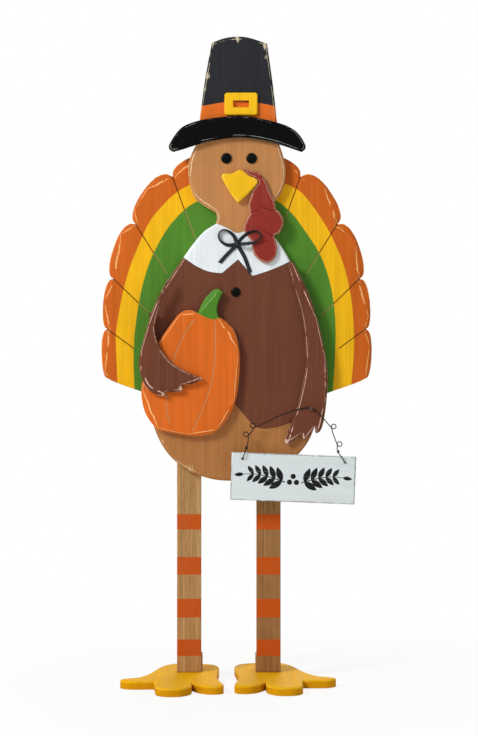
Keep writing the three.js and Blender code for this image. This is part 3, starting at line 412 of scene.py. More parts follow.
    # The wall runs from the rim to an eased back edge, and the screws' recesses are sunk into the back
    stock = abs(back - front)
    frontCount = len(plane)
    eased = outline + inward * look["backEase"]
    sound = isInside(eased, outline) & (loopDistance(eased, outline)[0] > 0.35)
    eased = np.where(sound[:, None], eased, outline)
    backPoints = np.concatenate([eased, *holes])
    starts = np.cumsum([count] + [len(hole) for hole in holes])[:-1]
    backEdges = [ringEdges(count)] + [ringEdges(len(hole), first) for hole, first in zip(holes, starts)]
    backPlane, backFaces = triangulate(backPoints, np.concatenate(backEdges), eased, holes)
    flat = [plane, outline, backPoints]
    deep = [depth, np.full(count, stock - look["backEase"]), np.full(len(backPoints), stock)]
    firstBack = frontCount + count
    rim = nearestOf(outline, plane)
    here, after = ringEdges(count).T
    quads = [np.stack([rim[here], frontCount + here, frontCount + after, rim[after]], 1),
             np.stack([frontCount + here, firstBack + here, firstBack + after, frontCount + after], 1)]
    backFaces = nearestOf(backPlane, backPoints)[backFaces][:, ::-1] + firstBack
    polygons = faces.tolist() + np.concatenate(quads).tolist() + backFaces.tolist()
    inked = np.zeros(len(faces), int)
    for loop in inlay:
        inked[isInside(plane[faces].mean(1), loop)] = 2
    finish = inked.tolist() + [0] * 2 * count + [1] * len(backFaces)
    total = firstBack + len(backPoints)
    for hole, first in zip(holes, starts):
        here, after = ringEdges(len(hole)).T
        ring = firstBack + first + here
        if throughHoles:
            top = nearestOf(hole, plane)
        else:
            flat.append(hole)
            deep.append(np.full(len(hole), stock - look["recess"]))
            top = total + here
            total += len(hole)
            polygons.append(top.tolist())
            finish.append(1)
        polygons += np.stack([top[here], ring[here], ring[after], top[after]], 1).tolist()
        # on an inked board the holes' walls take the ink too: painted shade
        finish += [(2 if inlay else 0) if throughHoles else 1] * len(hole)

    flat, deep = np.concatenate(flat), np.concatenate(deep)
    worn = np.zeros(len(flat))
    for x, z, size, amount in look["worn"]:      # fades as e^-(r / size)^2, with r shorter along the grain
        away = (flat - low - np.array([x, z]) * span) / [1, look["wornLength"]]
        worn = np.maximum(worn, amount * np.exp(-(away ** 2).sum(1) / size ** 2))
    values = dict(edge=np.concatenate([share, np.full(len(flat) - frontCount, -1.0)]),
                  groove=grooveDistance(flat), worn=worn)
    for zone, loop in zones.items():      # how far inside the zone
        values[zone] = np.where(isInside(flat, loop), 1, -1) * loopDistance(flat, loop)[0]
    flat = (flat - middle) @ twist + middle
    return meshOf(name, np.insert(flat, axis, front + way * deep, axis=1), polygons, values, finish)


def loft(name, parts, values=None):
    # Each part is a stack of closed rings, joined by quads (i, j) to (i + 1, j + 1) and capped at both ends
    polygons, first = [], 0
    for rings in parts:
        rows, columns = rings.shape[:2]
        number = first + np.arange(rows * columns).reshape(rows, columns)
        after = np.roll(number, -1, 1)
        quads = np.stack([number[:-1], after[:-1], after[1:], number[1:]], -1).reshape(-1, 4)
        polygons += quads.tolist() + [number[0, ::-1].tolist(), number[-1].tolist()]
        first += rows * columns
    return meshOf(name, np.concatenate([rings.reshape(-1, 3) for rings in parts]), polygons, values)


def dress(piece, node, materials, body="turkey"):
    # The piece rides on a body in place of its CAD node
    for material in materials:
        piece.data.materials.append(material)
    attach(piece, body)
    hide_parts(node)


def camelName(node):
    # tail_fan becomes tailFan
    first, *rest = node.split("_")
    return first + "".join(word.capitalize() for word in rest)


def fitBoard(node, look, slot, front, *others, body="turkey", **facing):
    # A board over its node, bare pine at the back unless another material is given
    piece = boardOver(node, camelName(node), look, **facing)
    dress(piece, node, [front, *(others or [pineBack])], body)


# Finishes

def laidGrain(add, sizes, shift, settings, axis=2, turn=0.0):
    # Noises drawn out along the boards, each so many mm across and so many long
    place = add("TexCoord").outputs["Object"]
    pattern = {}
    for key, across, length, detail in sizes:
        periods = [across * mm] * 3
        periods[axis] = length * mm
        laid = add(
            "Mapping", {"Vector": place, "Location": [shift] * 3, "Rotation": (0, turn, 0), "Scale": periods},
            vector_type="TEXTURE")
        pattern[key] = add("TexNoise", {"Vector": laid, "Scale": 1.0, "Detail": detail, **settings})
    return place, pattern


# What a coat of paint has where its own dictionary says nothing
usualPaint = dict(
    specular=0.12, grainAxis=2, grainTurn=0.0, zones={}, streak=0.05, line=0.05, cloud=0.05, bare=0.06,
    ridge=0.2, ridgeWear=1.0, rim=0.12, rimWear=0.8, wearFrom=0.46, wear=0.85, grooveCore=0.3, grooveZones={},
    roughness=(0.5, 0.66), relief=0.16)


def paintedWood(name, look):
    # Satin acrylic brushed on pine boards with the grain upright, then rubbed through at the edges:
    # paint * (1 + streaks), and primer where ridge or rim, patchy cover and worn places add up to enough.
    look = {**usualPaint, **look}
    material, add, shader = newMaterial(name, look["paint"], {"Specular IOR Level": look["specular"]})
    sizes = (("streak", 7, 240, 2), ("line", 1.5, 120, 2), ("cloud", 45, 70, 2), ("cover", 26, 26, 4),
             ("speck", 2.2, 4, 2))
    _, pattern = laidGrain(add, sizes, look["seed"] * 0.37, {"Roughness": 0.55}, look["grainAxis"],
                           look["grainTurn"])
    given = {key: add("Attribute", attribute_name=key).outputs["Fac"]
             for key in ("edge", "groove", "worn", *look["zones"])}

    colour, primer = linear(look["paint"]), linear(look["primer"])
    mask = {}
    for zone, paints in look["zones"].items():
        ragged = add("Math", {0: pattern["speck"], 1: 0.8, 2: given[zone]}, operation="MULTIPLY_ADD")
        mask[zone] = add("MapRange", {"Value": ragged, "From Min": 0.1, "From Max": 0.7})
        colour = add("Mix", {0: mask[zone], 6: colour, 7: linear(paints[0])})
        primer = add("Mix", {0: mask[zone], 6: primer, 7: linear(paints[1])})

    if "wall" in look:      # the side walls get a deeper colour than the face: sawn end grain drinks the paint, and the rest is painted shade
        soakedAndShadedSides = add("MapRange", {"Value": given["edge"], "From Min": -0.04, "From Max": -0.2})
        colour = add("Mix", {0: soakedAndShadedSides, 6: colour, 7: linear(look["wall"])})

    # Brush streaks, the lines of the wire-brushed grain and the cloudiness of the coat
    tone = 1.0
    for key in ("streak", "line", "cloud"):
        part = add("MapRange", {
            "Value": pattern[key], "From Min": 0.3, "From Max": 0.7, "To Min": 1 - look[key],
            "To Max": 1 + look[key]})
        tone = add("Math", {0: part, 1: tone}, operation="MULTIPLY")
    colour = add("HueSaturation", {"Value": tone, "Color": colour})
    bare = add("MapRange", {
        "Value": pattern["line"], "From Min": 0.62, "From Max": 0.72, "To Max": look["bare"]})
    colour = add("Mix", {0: bare, 6: colour, 7: primer})

    # Lines where the sanding block cut through: on the ridge of the chamfer and on the rim
    offRidge = add("Math", {0: given["edge"], 1: -1.0}, operation="ADD")
    offRidge = add("Math", {0: offRidge}, operation="ABSOLUTE")
    ridge = add("MapRange", {
        "Value": offRidge, "From Max": look["ridge"], "To Min": look["ridgeWear"], "To Max": 0.0})
    offRim = add("Math", {0: given["edge"]}, operation="ABSOLUTE")
    rim = add("MapRange", {
        "Value": offRim, "From Max": look["rim"], "To Min": look["rimWear"], "To Max": 0.0})
    line = add("Math", {0: ridge, 1: rim}, operation="MAXIMUM")
    cover = add("Math", {0: given["worn"], 1: 0.3, 2: pattern["cover"]}, operation="MULTIPLY_ADD")
    cover = add("MapRange", {
        "Value": cover, "From Min": look["wearFrom"], "From Max": look["wearFrom"] + 0.1})
    line = add("Math", {0: line, 1: cover}, operation="MULTIPLY")
    line = add("Math", {0: pattern["speck"], 1: 1.1, 2: line}, operation="MULTIPLY_ADD")
    line = add("MapRange", {"Value": line, "From Min": 0.9, "From Max": 1.12})
    rubbed = add("Math", {0: pattern["line"], 1: 0.9, 2: given["worn"]}, operation="MULTIPLY_ADD")
    rubbed = add("MapRange", {"Value": rubbed, "From Min": 1.12, "From Max": 1.3})
    worn = add("Math", {0: line, 1: rubbed}, operation="MAXIMUM")
    worn = add("Math", {0: worn, 1: look["wear"]}, operation="MULTIPLY")
    colour = add("Mix", {0: worn, 6: colour, 7: primer})

    if "grooveHex" in look:
        core = look["grooveCore"]
        groove = add("MapRange", {
            "Value": given["groove"], "From Min": core, "From Max": core + 0.45, "To Min": 0.9,
            "To Max": 0.0})
        inGroove = linear(look["grooveHex"])
        for zone, hexText in look["grooveZones"].items():
            inGroove = add("Mix", {0: mask[zone], 6: inGroove, 7: linear(hexText)})
        colour = add("Mix", {0: groove, 6: colour, 7: inGroove})

    low, high = look["roughness"]
    rough = add("MapRange", {
        "Value": pattern["streak"], "From Min": 0.3, "From Max": 0.7, "To Min": low, "To Max": high})
    relief = add("Math", {0: pattern["line"], 1: 0.7, 2: pattern["streak"]}, operation="MULTIPLY_ADD")
    relief = add("Math", {0: worn, 1: -0.3, 2: relief}, operation="MULTIPLY_ADD")
    bump = add("Bump", {"Height": relief, "Distance": look["relief"] * mm, "Strength": 1.0})
    feed(shader, "Base Color", colour)
    feed(shader, "Roughness", rough)
    feed(shader, "Normal", bump)
    return material


def bareWood(name, look):
    # Planed pine, unsealed: two tones mixed by a grain that runs far along the board and only millimetres
    # across, with late-wood lines and pores, and painted bands wherever the height lies between two stops.
    material, add, shader = newMaterial(name, look["wood"], {"Roughness": 0.72, "Specular IOR Level": 0.12})
    sizes = (("figure", look["figure"], 420, 3), ("grain", look["grain"], 240, 3), ("pore", 0.7, 22, 1))
    place, pattern = laidGrain(add, sizes, look["seed"] * 0.41, {"Distortion": 0.3})
    colour = linear(look["wood"])
    for key, start, end, amount, tone in (("figure", 0.4, 0.64, 0.4, "lateWood"),
                                          ("grain", 0.5, 0.64, 0.55, "lateWood"),
                                          ("grain", 0.44, 0.34, 0.5, "earlyWood"),
                                          ("pore", 0.58, 0.68, 0.5, "pores")):
        part = add("MapRange", {"Value": pattern[key], "From Min": start, "From Max": end, "To Max": amount})
        colour = add("Mix", {0: part, 6: colour, 7: linear(look[tone])})
    if "bands" in look:
        height = add("SeparateXYZ", {0: place}).outputs["Z"]
        ragged = add("Math", {0: pattern["pore"], 1: 0.9 * mm, 2: height}, operation="MULTIPLY_ADD")
        scaled = add("Math", {0: ragged, 1: look["bandTop"] * mm}, operation="DIVIDE")
        ramp = add("ValToRGB", {0: scaled})
        ramp.color_ramp.interpolation = "CONSTANT"
        ramp.color_ramp.elements.remove(ramp.color_ramp.elements[1])
        for low, high in look["bands"]:
            for stop, shade in ((low, 1.0), (high, 0.0)):
                ramp.color_ramp.elements.new(stop / look["bandTop"]).color = (shade, shade, shade, 1)
        thin = add("MapRange", {
            "Value": pattern["grain"], "From Min": 0.52, "From Max": 0.72, "To Min": 0.96, "To Max": 0.7})
        share = add("Math", {0: ramp, 1: thin}, operation="MULTIPLY")
        colour = add("Mix", {0: share, 6: colour, 7: linear(look["bandHex"])})
    feed(shader, "Base Color", colour)
    relief = add("Math", {0: pattern["pore"], 1: 0.5, 2: pattern["grain"]}, operation="MULTIPLY_ADD")
    feed(shader, "Normal", add("Bump", {"Height": relief, "Distance": 0.2 * mm, "Strength": 1.0}))
    return material


pine = dict(
    wood="#bb9365", lateWood="#a0764a", earlyWood="#cda980", pores="#80592f", figure=30, grain=2.8, seed=3)
pineBack = bareWood("planedPine", pine)
print("finishes")

# Tail fan: three painted bows on one board, grooved between the feathers
fan = dict(
    seed=4, grooveSize=(2.4, 1.1), squareBelow=0.133, chamfer=2.4, planed=7.0, fall=2.4, sanding=0.35,
    strokes=(34, 62), pitch=7.0, unit=((0, 383.1), (192.4, 367)),
    zones=dict(
        yellowBow=[
            (-0.872, -0.05), (-0.88, 0.114), (-0.892, 0.259), (-0.886, 0.328), (-0.846, 0.446),
            (-0.794, 0.55), (-0.727, 0.64), (-0.648, 0.73), (-0.569, 0.785), (-0.463, 0.84), (-0.358, 0.875),
            (-0.18, 0.915), (0, 0.93), (0.18, 0.92), (0.363, 0.882), (0.481, 0.847), (0.587, 0.778),
            (0.693, 0.688), (0.785, 0.577), (0.838, 0.467), (0.864, 0.349), (0.867, 0.224), (0.848, 0.107),
            (0.83, -0.05)],
        greenBow=[
            (-0.745, -0.05), (-0.754, 0.09), (-0.761, 0.19), (-0.754, 0.294), (-0.727, 0.404),
            (-0.695, 0.488), (-0.648, 0.57), (-0.582, 0.646), (-0.49, 0.723), (-0.384, 0.782),
            (-0.285, 0.816), (-0.15, 0.845), (0, 0.86), (0.15, 0.845), (0.296, 0.816), (0.415, 0.764),
            (0.521, 0.688), (0.613, 0.612), (0.679, 0.522), (0.719, 0.418), (0.732, 0.307), (0.726, 0.19),
            (0.712, 0.079), (0.7, -0.05)]),
    worn=[
        (-0.9, 0.62, 30, 0.5), (-0.6, 0.2, 26, 0.3), (0.95, 0.25, 20, 0.5), (0.95, 0.47, 12, 0.4),
        (0.92, 0.6, 12, 0.4), (-0.75, 0.75, 12, 0.45), (-0.97, 0.3, 18, 0.45)])
fan["grooves"] = [[(side * x, z) for x, z in rows] for side in (-1, 1) for rows in (
    [(0.473, 0.91), (0.305, 0.667)], [(0.746, 0.726), (0.517, 0.535)],
    [(0.91, 0.514), (0.628, 0.372)], [(0.955, 0.319), (0.76, 0.245)])]
fanPaint = paintedWood("acrylicOnPineFan", dict(
    seed=4, paint="#c8601a", primer="#f8bb76", streak=0.07, line=0.06, wearFrom=0.38, rimWear=1.0, rim=0.16,
    zones=dict(yellowBow=("#efb514", "#f8d675"), greenBow=("#4f8329", "#9db26c")), grooveHex="#563415",
    grooveZones=dict(greenBow="#a98f5c"), grooveCore=0.5))
fitBoard("tail_fan", fan, "fan_paint", fanPaint)
print("tail fan")

# Body board: hat crown with its band, head, collar, coat and belly. Neighbours share a line.
bandTop = [(-0.1, 0.85), (0.25, 0.838), (0.316, 0.843), (0.444, 0.851), (0.536, 0.853), (0.64, 0.85),
           (0.74, 0.843), (0.8, 0.838), (1.1, 0.85)]
collarEdge = [(0.1, 0.53), (0.205, 0.503), (0.286, 0.482), (0.358, 0.47), (0.434, 0.466), (0.528, 0.497),
              (0.612, 0.46), (0.721, 0.474), (0.826, 0.492), (1.0, 0.53)]
hem = [(-0.1, 0.32), (0.014, 0.3), (0.3, 0.262), (0.4, 0.22), (0.46, 0.194), (0.5, 0.176), (0.536, 0.16),
       (0.571, 0.144), (0.604, 0.129), (0.635, 0.1205), (0.674, 0.1165), (0.71, 0.1175), (0.749, 0.12),
       (0.791, 0.1245), (0.834, 0.13), (0.95, 0.135)]
body = dict(
    seed=11, chamfer=2.1, planed=1.5, fall=1.9, sanding=0.5, strokes=(30, 64),
    unit=((-126.54, 285.3), (244, 629)), grooveSize=(1.4, 0.8),
    grooves=[collarEdge[1:5], collarEdge[4:6], collarEdge[5:7], collarEdge[6:9]],
    zones=dict(
        crown=[*bandTop, (1.1, 1.1), (-0.1, 1.1)],
        band=[*bandTop, (1.1, 0.765), (0.77, 0.765), (0.52, 0.79), (0.29, 0.765), (-0.1, 0.765)],
        collar=[
            (0.3, 0.6), (0.38, 0.583), (0.399, 0.579), (0.433, 0.574), (0.466, 0.568), (0.488, 0.563),
            (0.511, 0.558), (0.54, 0.558), (0.557, 0.561), (0.6, 0.568), (0.645, 0.578), (0.7, 0.59),
            (1.0, 0.62), *collarEdge[::-1], (0.1, 0.62)],
        coat=[(0.0, 0.56), *collarEdge, (1.2, 0.5), (1.2, 0.13), *hem[::-1], (-0.1, 0.5)],
        belly=[*hem, (1.2, 0.13), (1.2, -0.1), (-0.1, -0.1)]),
    wornLength=1.8,
    worn=[
        (0.524, 0.998, 7, 0.9), (0.378, 0.986, 6, 0.8), (0.684, 0.979, 6, 0.9), (0.687, 0.953, 5, 0.8),
        (0.352, 0.91, 5, 0.9), (0.368, 0.96, 5, 0.7), (0.335, 0.882, 5, 0.75), (0.726, 0.908, 4, 0.7),
        (0.734, 0.875, 6, 0.75), (0.31, 0.831, 7, 0.6), (0.745, 0.831, 7, 0.5), (0.194, 0.489, 8, 0.5),
        (0.153, 0.467, 8, 0.55), (0.107, 0.438, 8, 0.55), (0.072, 0.413, 8, 0.55), (0.043, 0.39, 8, 0.45),
        (0.246, 0.022, 14, 0.7), (0.258, 0.615, 12, 0.4), (0.23, 0.66, 26, 0.4), (0.31, 0.6, 16, 0.4),
        (0.79, 0.68, 30, 0.35), (0.1, 0.42, 40, 0.35), (0.95, 0.42, 40, 0.35)])
bodyPaint = paintedWood("acrylicOnPineBody", dict(
    seed=11, paint="#bc824f", primer="#f6dcb8", line=0.07, wearFrom=0.475, wear=0.9, bare=0.03,
    zones=dict(
        crown=("#25262a", "#d9cba8"), band=("#dd6d23", "#f0c08a"), collar=("#e6ecef", "#f4f1ea"),
        coat=("#6c3d2b", "#e0b8a2"), belly=("#ac7442", "#ecd0a4")),
    grooveHex="#5a3524"))
fitBoard("body_board", body, "body_paint", bodyPaint)
print("body")

# Hat brim and buckle
brim = dict(seed=21, chamfer=2.6, fall=1.3, sanding=0.3, worn=[(0.04, 0.06, 7, 0.6), (0.5, 0.42, 12, 0.3)])
brimPaint = paintedWood("blackAcrylicOnPine", dict(
    seed=21, paint="#060607", primer="#b9b6ac", streak=0.1, line=0.1, wearFrom=0.43, wear=0.6, bare=0.0,
    rimWear=0.9, roughness=(0.42, 0.56), specular=0.05))
fitBoard("hat_brim", brim, "black_paint", brimPaint)
buckle = dict(seed=22, chamfer=1.5, fall=1.1, sanding=0.1, through=True, spacing=0.9, pitch=3.0, soften=6)
bucklePaint = paintedWood("yellowAcrylicOnBirchPly", dict(
    seed=22, paint="#f3bc1c", primer="#f9dd84", line=0.04, wearFrom=0.52, bare=0.1, roughness=(0.42, 0.54)))
fitBoard("hat_buckle", buckle, "yellow_paint", bucklePaint)

# Beak and wattle
beak = dict(
    seed=23, chamfer=2.0, fall=1.2, sanding=0.2, spacing=1.0, pitch=4.0, soften=4,
    worn=[(0.03, 0.8, 7, 0.6), (0.16, 0.5, 8, 0.55), (0.42, 0.05, 7, 0.6), (0.97, 0.55, 6, 0.5)])
fitBoard("beak", beak, "yellow_paint", bucklePaint)
wattle = dict(
    seed=24, chamfer=1.8, fall=1.2, sanding=0.25, spacing=1.4, pitch=4.0, grooveSize=(1.4, 0.8),
    grooves=[
        [(0.515, 0.594), (0.687, 0.564), (0.825, 0.571)], [(0.192, 0.531), (0.28, 0.555), (0.37, 0.56)],
        [(0.567, 0.338), (0.68, 0.305), (0.776, 0.289)], [(0.246, 0.224), (0.42, 0.215), (0.616, 0.232)]])
wattlePaint = paintedWood("redAcrylicOnBirchPly", dict(
    seed=24, paint="#8e2f27", primer="#efc9a8", line=0.04, wearFrom=0.33, wear=0.95, rimWear=1.0, rim=0.4,
    grooveHex="#702722"))
fitBoard("wattle", wattle, "red_paint", wattlePaint)
print("hat and face boards")

# Eyes and coat button: half beads, r = R cos(a), height = wall + (h - wall) sin(a)
bead = dict(ink="#0a0a0b", specular=0.06, columns=40, rows=12, eyeSpread=1.08)
# Moulded acrylic: a deep black whose gloss a film of dust breaks up
blackGloss, add, shader = newMaterial(
    "mouldedBlackAcrylic", bead["ink"], {"Specular IOR Level": bead["specular"]})
place = add("TexCoord").outputs["Object"]
dust = add("TexNoise", {"Vector": place, "Scale": 1 / (2.2 * mm), "Detail": 3.0})
feed(shader, "Roughness", add("MapRange", {
    "Value": dust, "From Min": 0.35, "From Max": 0.7, "To Min": 0.18, "To Max": 0.34}))
for node in ("eye_left", "eye_right", "coat_button"):
    low, high = (np.array(corner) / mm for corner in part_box(node))
    centre, radius, height = (low + high) / 2, (high - low)[0] / 2, (high - low)[1]
    angle = np.linspace(0, pi / 2, bead["rows"])
    radius *= bead["eyeSpread"] if node != "coat_button" else 1.0
    reach = np.concatenate([[radius * 0.96, radius], radius * np.cos(angle)])
    reach[-1] = radius * 0.03
    rise = np.concatenate([[0, 0.3], height / 3 + height * 2 / 3 * np.sin(angle)])
    around = np.linspace(0, 2 * pi, bead["columns"], endpoint=False)
    rings = np.stack([centre[0] + reach[:, None] * np.cos(around), high[1] - rise[:, None] + 0 * around,
                      centre[2] + reach[:, None] * np.sin(around)], 2)
    dress(loft(camelName(node), [rings]), node, [blackGloss])

# Pumpkin and the wing that holds it
pumpkin = dict(
    seed=31, chamfer=1.6, planed=6.5, fall=2.8, sanding=0.4, strokes=(42, 74), grooveSize=(1.7, 0.9),
    grooves=[
        [(0.528, 0.788), (0.437, 0.694), (0.373, 0.598), (0.328, 0.516), (0.257, 0.252), (0.263, 0.149),
         (0.289, 0.088)],
        [(0.745, 0.78), (0.748, 0.633), (0.735, 0.46), (0.684, 0.304), (0.605, 0.165), (0.521, 0.041)]],
    zones=dict(stem=[
        (0.3, 0.93), (0.5, 0.86), (0.58, 0.83), (0.657, 0.804), (0.735, 0.791), (0.787, 0.8), (0.95, 0.82),
        (1.1, 0.9), (1.1, 1.1), (0.3, 1.1)]))
pumpkinPaint = paintedWood("orangeAcrylicOnPine", dict(
    seed=31, paint="#d8681f", primer="#fdc583", zones=dict(stem=("#4b8425", "#7fa457")), streak=0.06,
    wearFrom=0.34, wear=0.9, grooveHex="#c9986a", grooveCore=0.55))
fitBoard("pumpkin", pumpkin, "pumpkin_paint", pumpkinPaint)
wing = dict(
    seed=33, chamfer=1.5, planed=3.5, fall=1.4, sanding=0.5, strokes=(26, 50), spacing=1.5, soften=3,
    worn=[(0.98, 0.15, 8, 0.8), (0.66, 0.07, 7, 0.8), (0.38, 0.02, 7, 0.8)])
wingLook = dict(
    seed=33, paint="#6a3b29", primer="#e4bda8", streak=0.06, wearFrom=0.4, rim=0.2, ridge=0.3, wear=0.9)
wingPaint = paintedWood("brownAcrylicOnPine", wingLook)
fitBoard("wing_over_pumpkin", wing, "body_paint", wingPaint)
otherWing = dict(
    wing, seed=34, chamfer=1.7, strokes=(30, 60), through=True,
    worn=[
        (0.03, 0.01, 9, 0.9), (0.43, 0.04, 8, 0.8), (0.72, 0.08, 7, 0.7), (0.33, 0.78, 12, 0.5),
        (0.46, 0.67, 13, 0.5), (0.47, 0.53, 12, 0.5), (0.43, 0.36, 13, 0.5), (0.62, 0.77, 10, 0.45),
        (0.8, 0.61, 10, 0.45), (0.97, 0.42, 12, 0.45)])
otherWingPaint = paintedWood(
    "brownAcrylicOnPineRight", dict(wingLook, seed=35, wearFrom=0.42, rim=0.14, ridge=0.27))
fitBoard("wing_with_sign", otherWing, "body_paint", otherWingPaint)
print("pumpkin and wings")

# Legs with painted bands, their blocks and the feet
legs = dict(seed=41, chamfer=0.8, fall=0.6, pitch=12.0)
block = dict(legs, trim=(0.872, 0.87))
legWood = dict(
    pine, figure=9, grain=1.7, pores="#6e4a2a", bandHex="#c14f0d", bandTop=400.0,
    bands=[(35.0, 59.1), (90.6, 117.1), (150.9, 175.8), (214.6, 237.0)])
# The right leg's pine is given darker tones than the left's
legTones = dict(
    left=dict(seed=5, wood="#b98c5a", lateWood="#947046", earlyWood="#cfae7c"),
    right=dict(seed=9, wood="#9d7044", lateWood="#7c5631", earlyWood="#b48c5c"))
feet = dict(seed=43, chamfer=1.8, fall=1.3, sanding=0.2, pitch=7.0)
# The feet's sawn side walls are painted deeper than the face, partly painted shade
feetPaint = paintedWood("yellowAcrylicOnPine", dict(
    seed=43, paint="#edb112", primer="#f0c964", wearFrom=0.44, grainAxis=1, wall="#d39206", wear=0.5,
    specular=0.05))
for side in ("left", "right"):
    stripedPine = bareWood("bandedPine" + side.capitalize(), {**legWood, **legTones[side]})
    fitBoard("leg_" + side, legs, "striped_wood", stripedPine, stripedPine)
    fitBoard("foot_block_" + side, block, "bare_wood", pineBack)
    fitBoard("foot_" + side, feet, "foot_paint", feetPaint, axis=2, way=-1)
print("legs and feet")

# Bow: flat ribbon on a path, corners at (+-width/2 along w, +-thick/2 along n), where n = tangent x w. A loop
# stands on edge at its far end and lies flatter near the knot, and crosses over the wattle on the right.
bow = dict(
    unit=1.41, place=(1.22, 6.9, 620.4), width=5.2, tailWidth=5.4, thick=0.45, step=0.7, rise=2.2,
    over=6.3, tailRise=0.6, atKnot=1.7, fade=5, ink="#171b1f", edgeOn=21, turns=60, aslant=1.3,
    knot=(3.4, 2.6, 3.8), ribs=0.9,
    loops=[
        [(-1, 1.5), (-3.2, 7.3), (-7.5, 11.7), (-13, 14), (-17.5, 12.3), (-19, 7.5), (-16.5, 2.6),
         (-10, -1.2), (-1, -0.8)],
        [(1, 1.5), (3.8, 4.7), (9.2, 9.3), (14.9, 11.8), (19.5, 12), (23, 9.3), (23, 6.3), (19.9, 3.2),
         (14.9, 0.5), (1, -0.8)]],
    tails=[
        [(-0.5, -1), (-5, -5.5), (-11.5, -12), (-17.5, -18.9)],
        [(0.5, -1), (4, -7.5), (7.7, -14.4), (13.1, -29)]])
parts, ribs = [], []
for points in bow["loops"] + bow["tails"]:
    isLoop = points in bow["loops"]
    route = smoothPath(np.array(points) * bow["unit"], bow["step"], 170, closed=False)
    ahead = np.gradient(route, axis=0)
    ahead /= np.linalg.norm(ahead, axis=1)[:, None]
    share = np.linspace(0, 1, len(route))
    run = np.concatenate([[0], np.cumsum(np.linalg.norm(np.diff(route, axis=0), axis=1))])
    tangent = np.stack([ahead[:, 0], 0 * share, ahead[:, 1]], 1)
    flat = np.stack([ahead[:, 1], 0 * share, -ahead[:, 0]], 1)
    skew = np.zeros_like(tangent)
    if isLoop:
        tilt = np.radians(bow["edgeOn"] + bow["turns"] * np.abs(np.cos(pi * share)) ** 2.5)[:, None]
        out = np.clip(route[:, 0] / 8, 0, 1)
        lift = bow["rise"] + bow["over"] * out ** 2 * (3 - 2 * out)
    else:
        tilt = np.full((len(share), 1), pi / 2)
        lift = bow["tailRise"] + bow["atKnot"] * np.exp(-run / bow["fade"])
        skew[-1] = tangent[-1] * bow["aslant"]      # the ends are cut aslant
    wide = np.cos(tilt) * np.array([0, 1, 0]) + np.sin(tilt) * flat
    thin = np.cross(tangent, wide)
    centre = np.stack([route[:, 0], -lift, route[:, 1]], 1) + np.array(bow["place"])
    half, thick = bow["width" if isLoop else "tailWidth"] / 2, bow["thick"] / 2
    parts.append(np.stack([centre + skew * a + wide * a * half + thin * b * thick
                           for a, b in ((-1, -1), (1, -1), (1, 1), (-1, 1))], 1))
    ribs.append(np.repeat(run, 4))
height = np.linspace(-1, 1, 15)
around = np.linspace(0, 2 * pi, 28, endpoint=False)
bulge = np.maximum(1 - np.abs(height) ** 4, 0.0) ** 0.25 * 0.97 + 0.03
wrap = [np.sign(f(around)) * np.abs(f(around)) ** 0.7 for f in (np.cos, np.sin)]
parts.append(np.stack([bulge[:, None] * wrap[0] * bow["knot"][0] + bow["place"][0],
                       bulge[:, None] * wrap[1] * bow["knot"][1] + bow["place"][1] - bow["knot"][1] - 0.2,
                       height[:, None] * bow["knot"][2] + bow["place"][2] + 0 * around], 2))
ribs.append(np.repeat(height * bow["knot"][2], len(around)))
# Woven polyester: black with a soft sheen, and cross ribs drawn coarse enough to show
ribbonSatin, add, shader = newMaterial("wovenPolyesterRibbon", bow["ink"], {
    "Roughness": 0.55, "Specular IOR Level": 0.25, "Sheen Weight": 0.15, "Sheen Roughness": 0.4})
travel = add("Attribute", attribute_name="travel").outputs["Fac"]
turned = add("Math", {0: travel, 1: 2 * pi / bow["ribs"]}, operation="MULTIPLY")
rib = add("Math", {0: turned}, operation="SINE")
shade = add("MapRange", {"Value": rib, "From Min": -1.0, "To Min": 0.8, "To Max": 1.25})
feed(shader, "Base Color", add("HueSaturation", {"Value": shade, "Color": linear(bow["ink"])}))
feed(shader, "Normal", add("Bump", {"Height": rib, "Distance": 0.04 * mm, "Strength": 1.0}))
dress(loft("bow", parts, dict(travel=np.concatenate(ribs))), "bow_ribbon", [ribbonSatin])
print("bow")

# Sign: whitewashed board with a plain laurel divider. A leaf is (L t, +-W sin(pi t)^0.8 (1 - t / 4)), and the
# stem part of a sine. The wire fills the two holes, which are narrower than the solid's and sit higher. Their
# rims and walls are inked black as painted shade.
sign = dict(
    seed=51, chamfer=1.2, fall=0.8, sanding=0.3, through=True, turn=radians(2.24), pitch=5.0,
    bore=(0.66, 0.96), boreLift=(-0.01, 0.56), holeShadeRim=(1.85, 1.3), leaf=(21.0, 5.1), leaves=5, taper=0.4,
    endLeaf=(0.64, 0.62), lean=radians(50), start=(11.5, -6), reach=58.0, bow=10.0, sweep=0.62, weight=1.7,
    thinning=0.9, berry=3.7,
    berries=([0, 2.6], [-4.9, -5.6], [4.9, -5.6]),
    worn=[
        (-87, -33, 4, 0.7), (87, 33, 5, 0.75), (30, -33, 5, 0.5), (89, 12, 9, 0.55), (88, -12, 9, 0.55),
        (86, -35, 6, 0.7), (62, 35, 9, 0.5), (-20, 36, 9, 0.45), (-30, -36, 10, 0.45)])
leafSize = np.array(sign["leaf"])
t = np.linspace(0, 1, 11)
leaf = np.stack([np.concatenate([t, t[-2:0:-1]]),
                 np.concatenate([np.sin(pi * t), -np.sin(pi * t[-2:0:-1])])], 1)
leaf[:, 1] = np.sign(leaf[:, 1]) * np.abs(leaf[:, 1]) ** 0.8 * (1 - leaf[:, 0] / 4)
ink = []
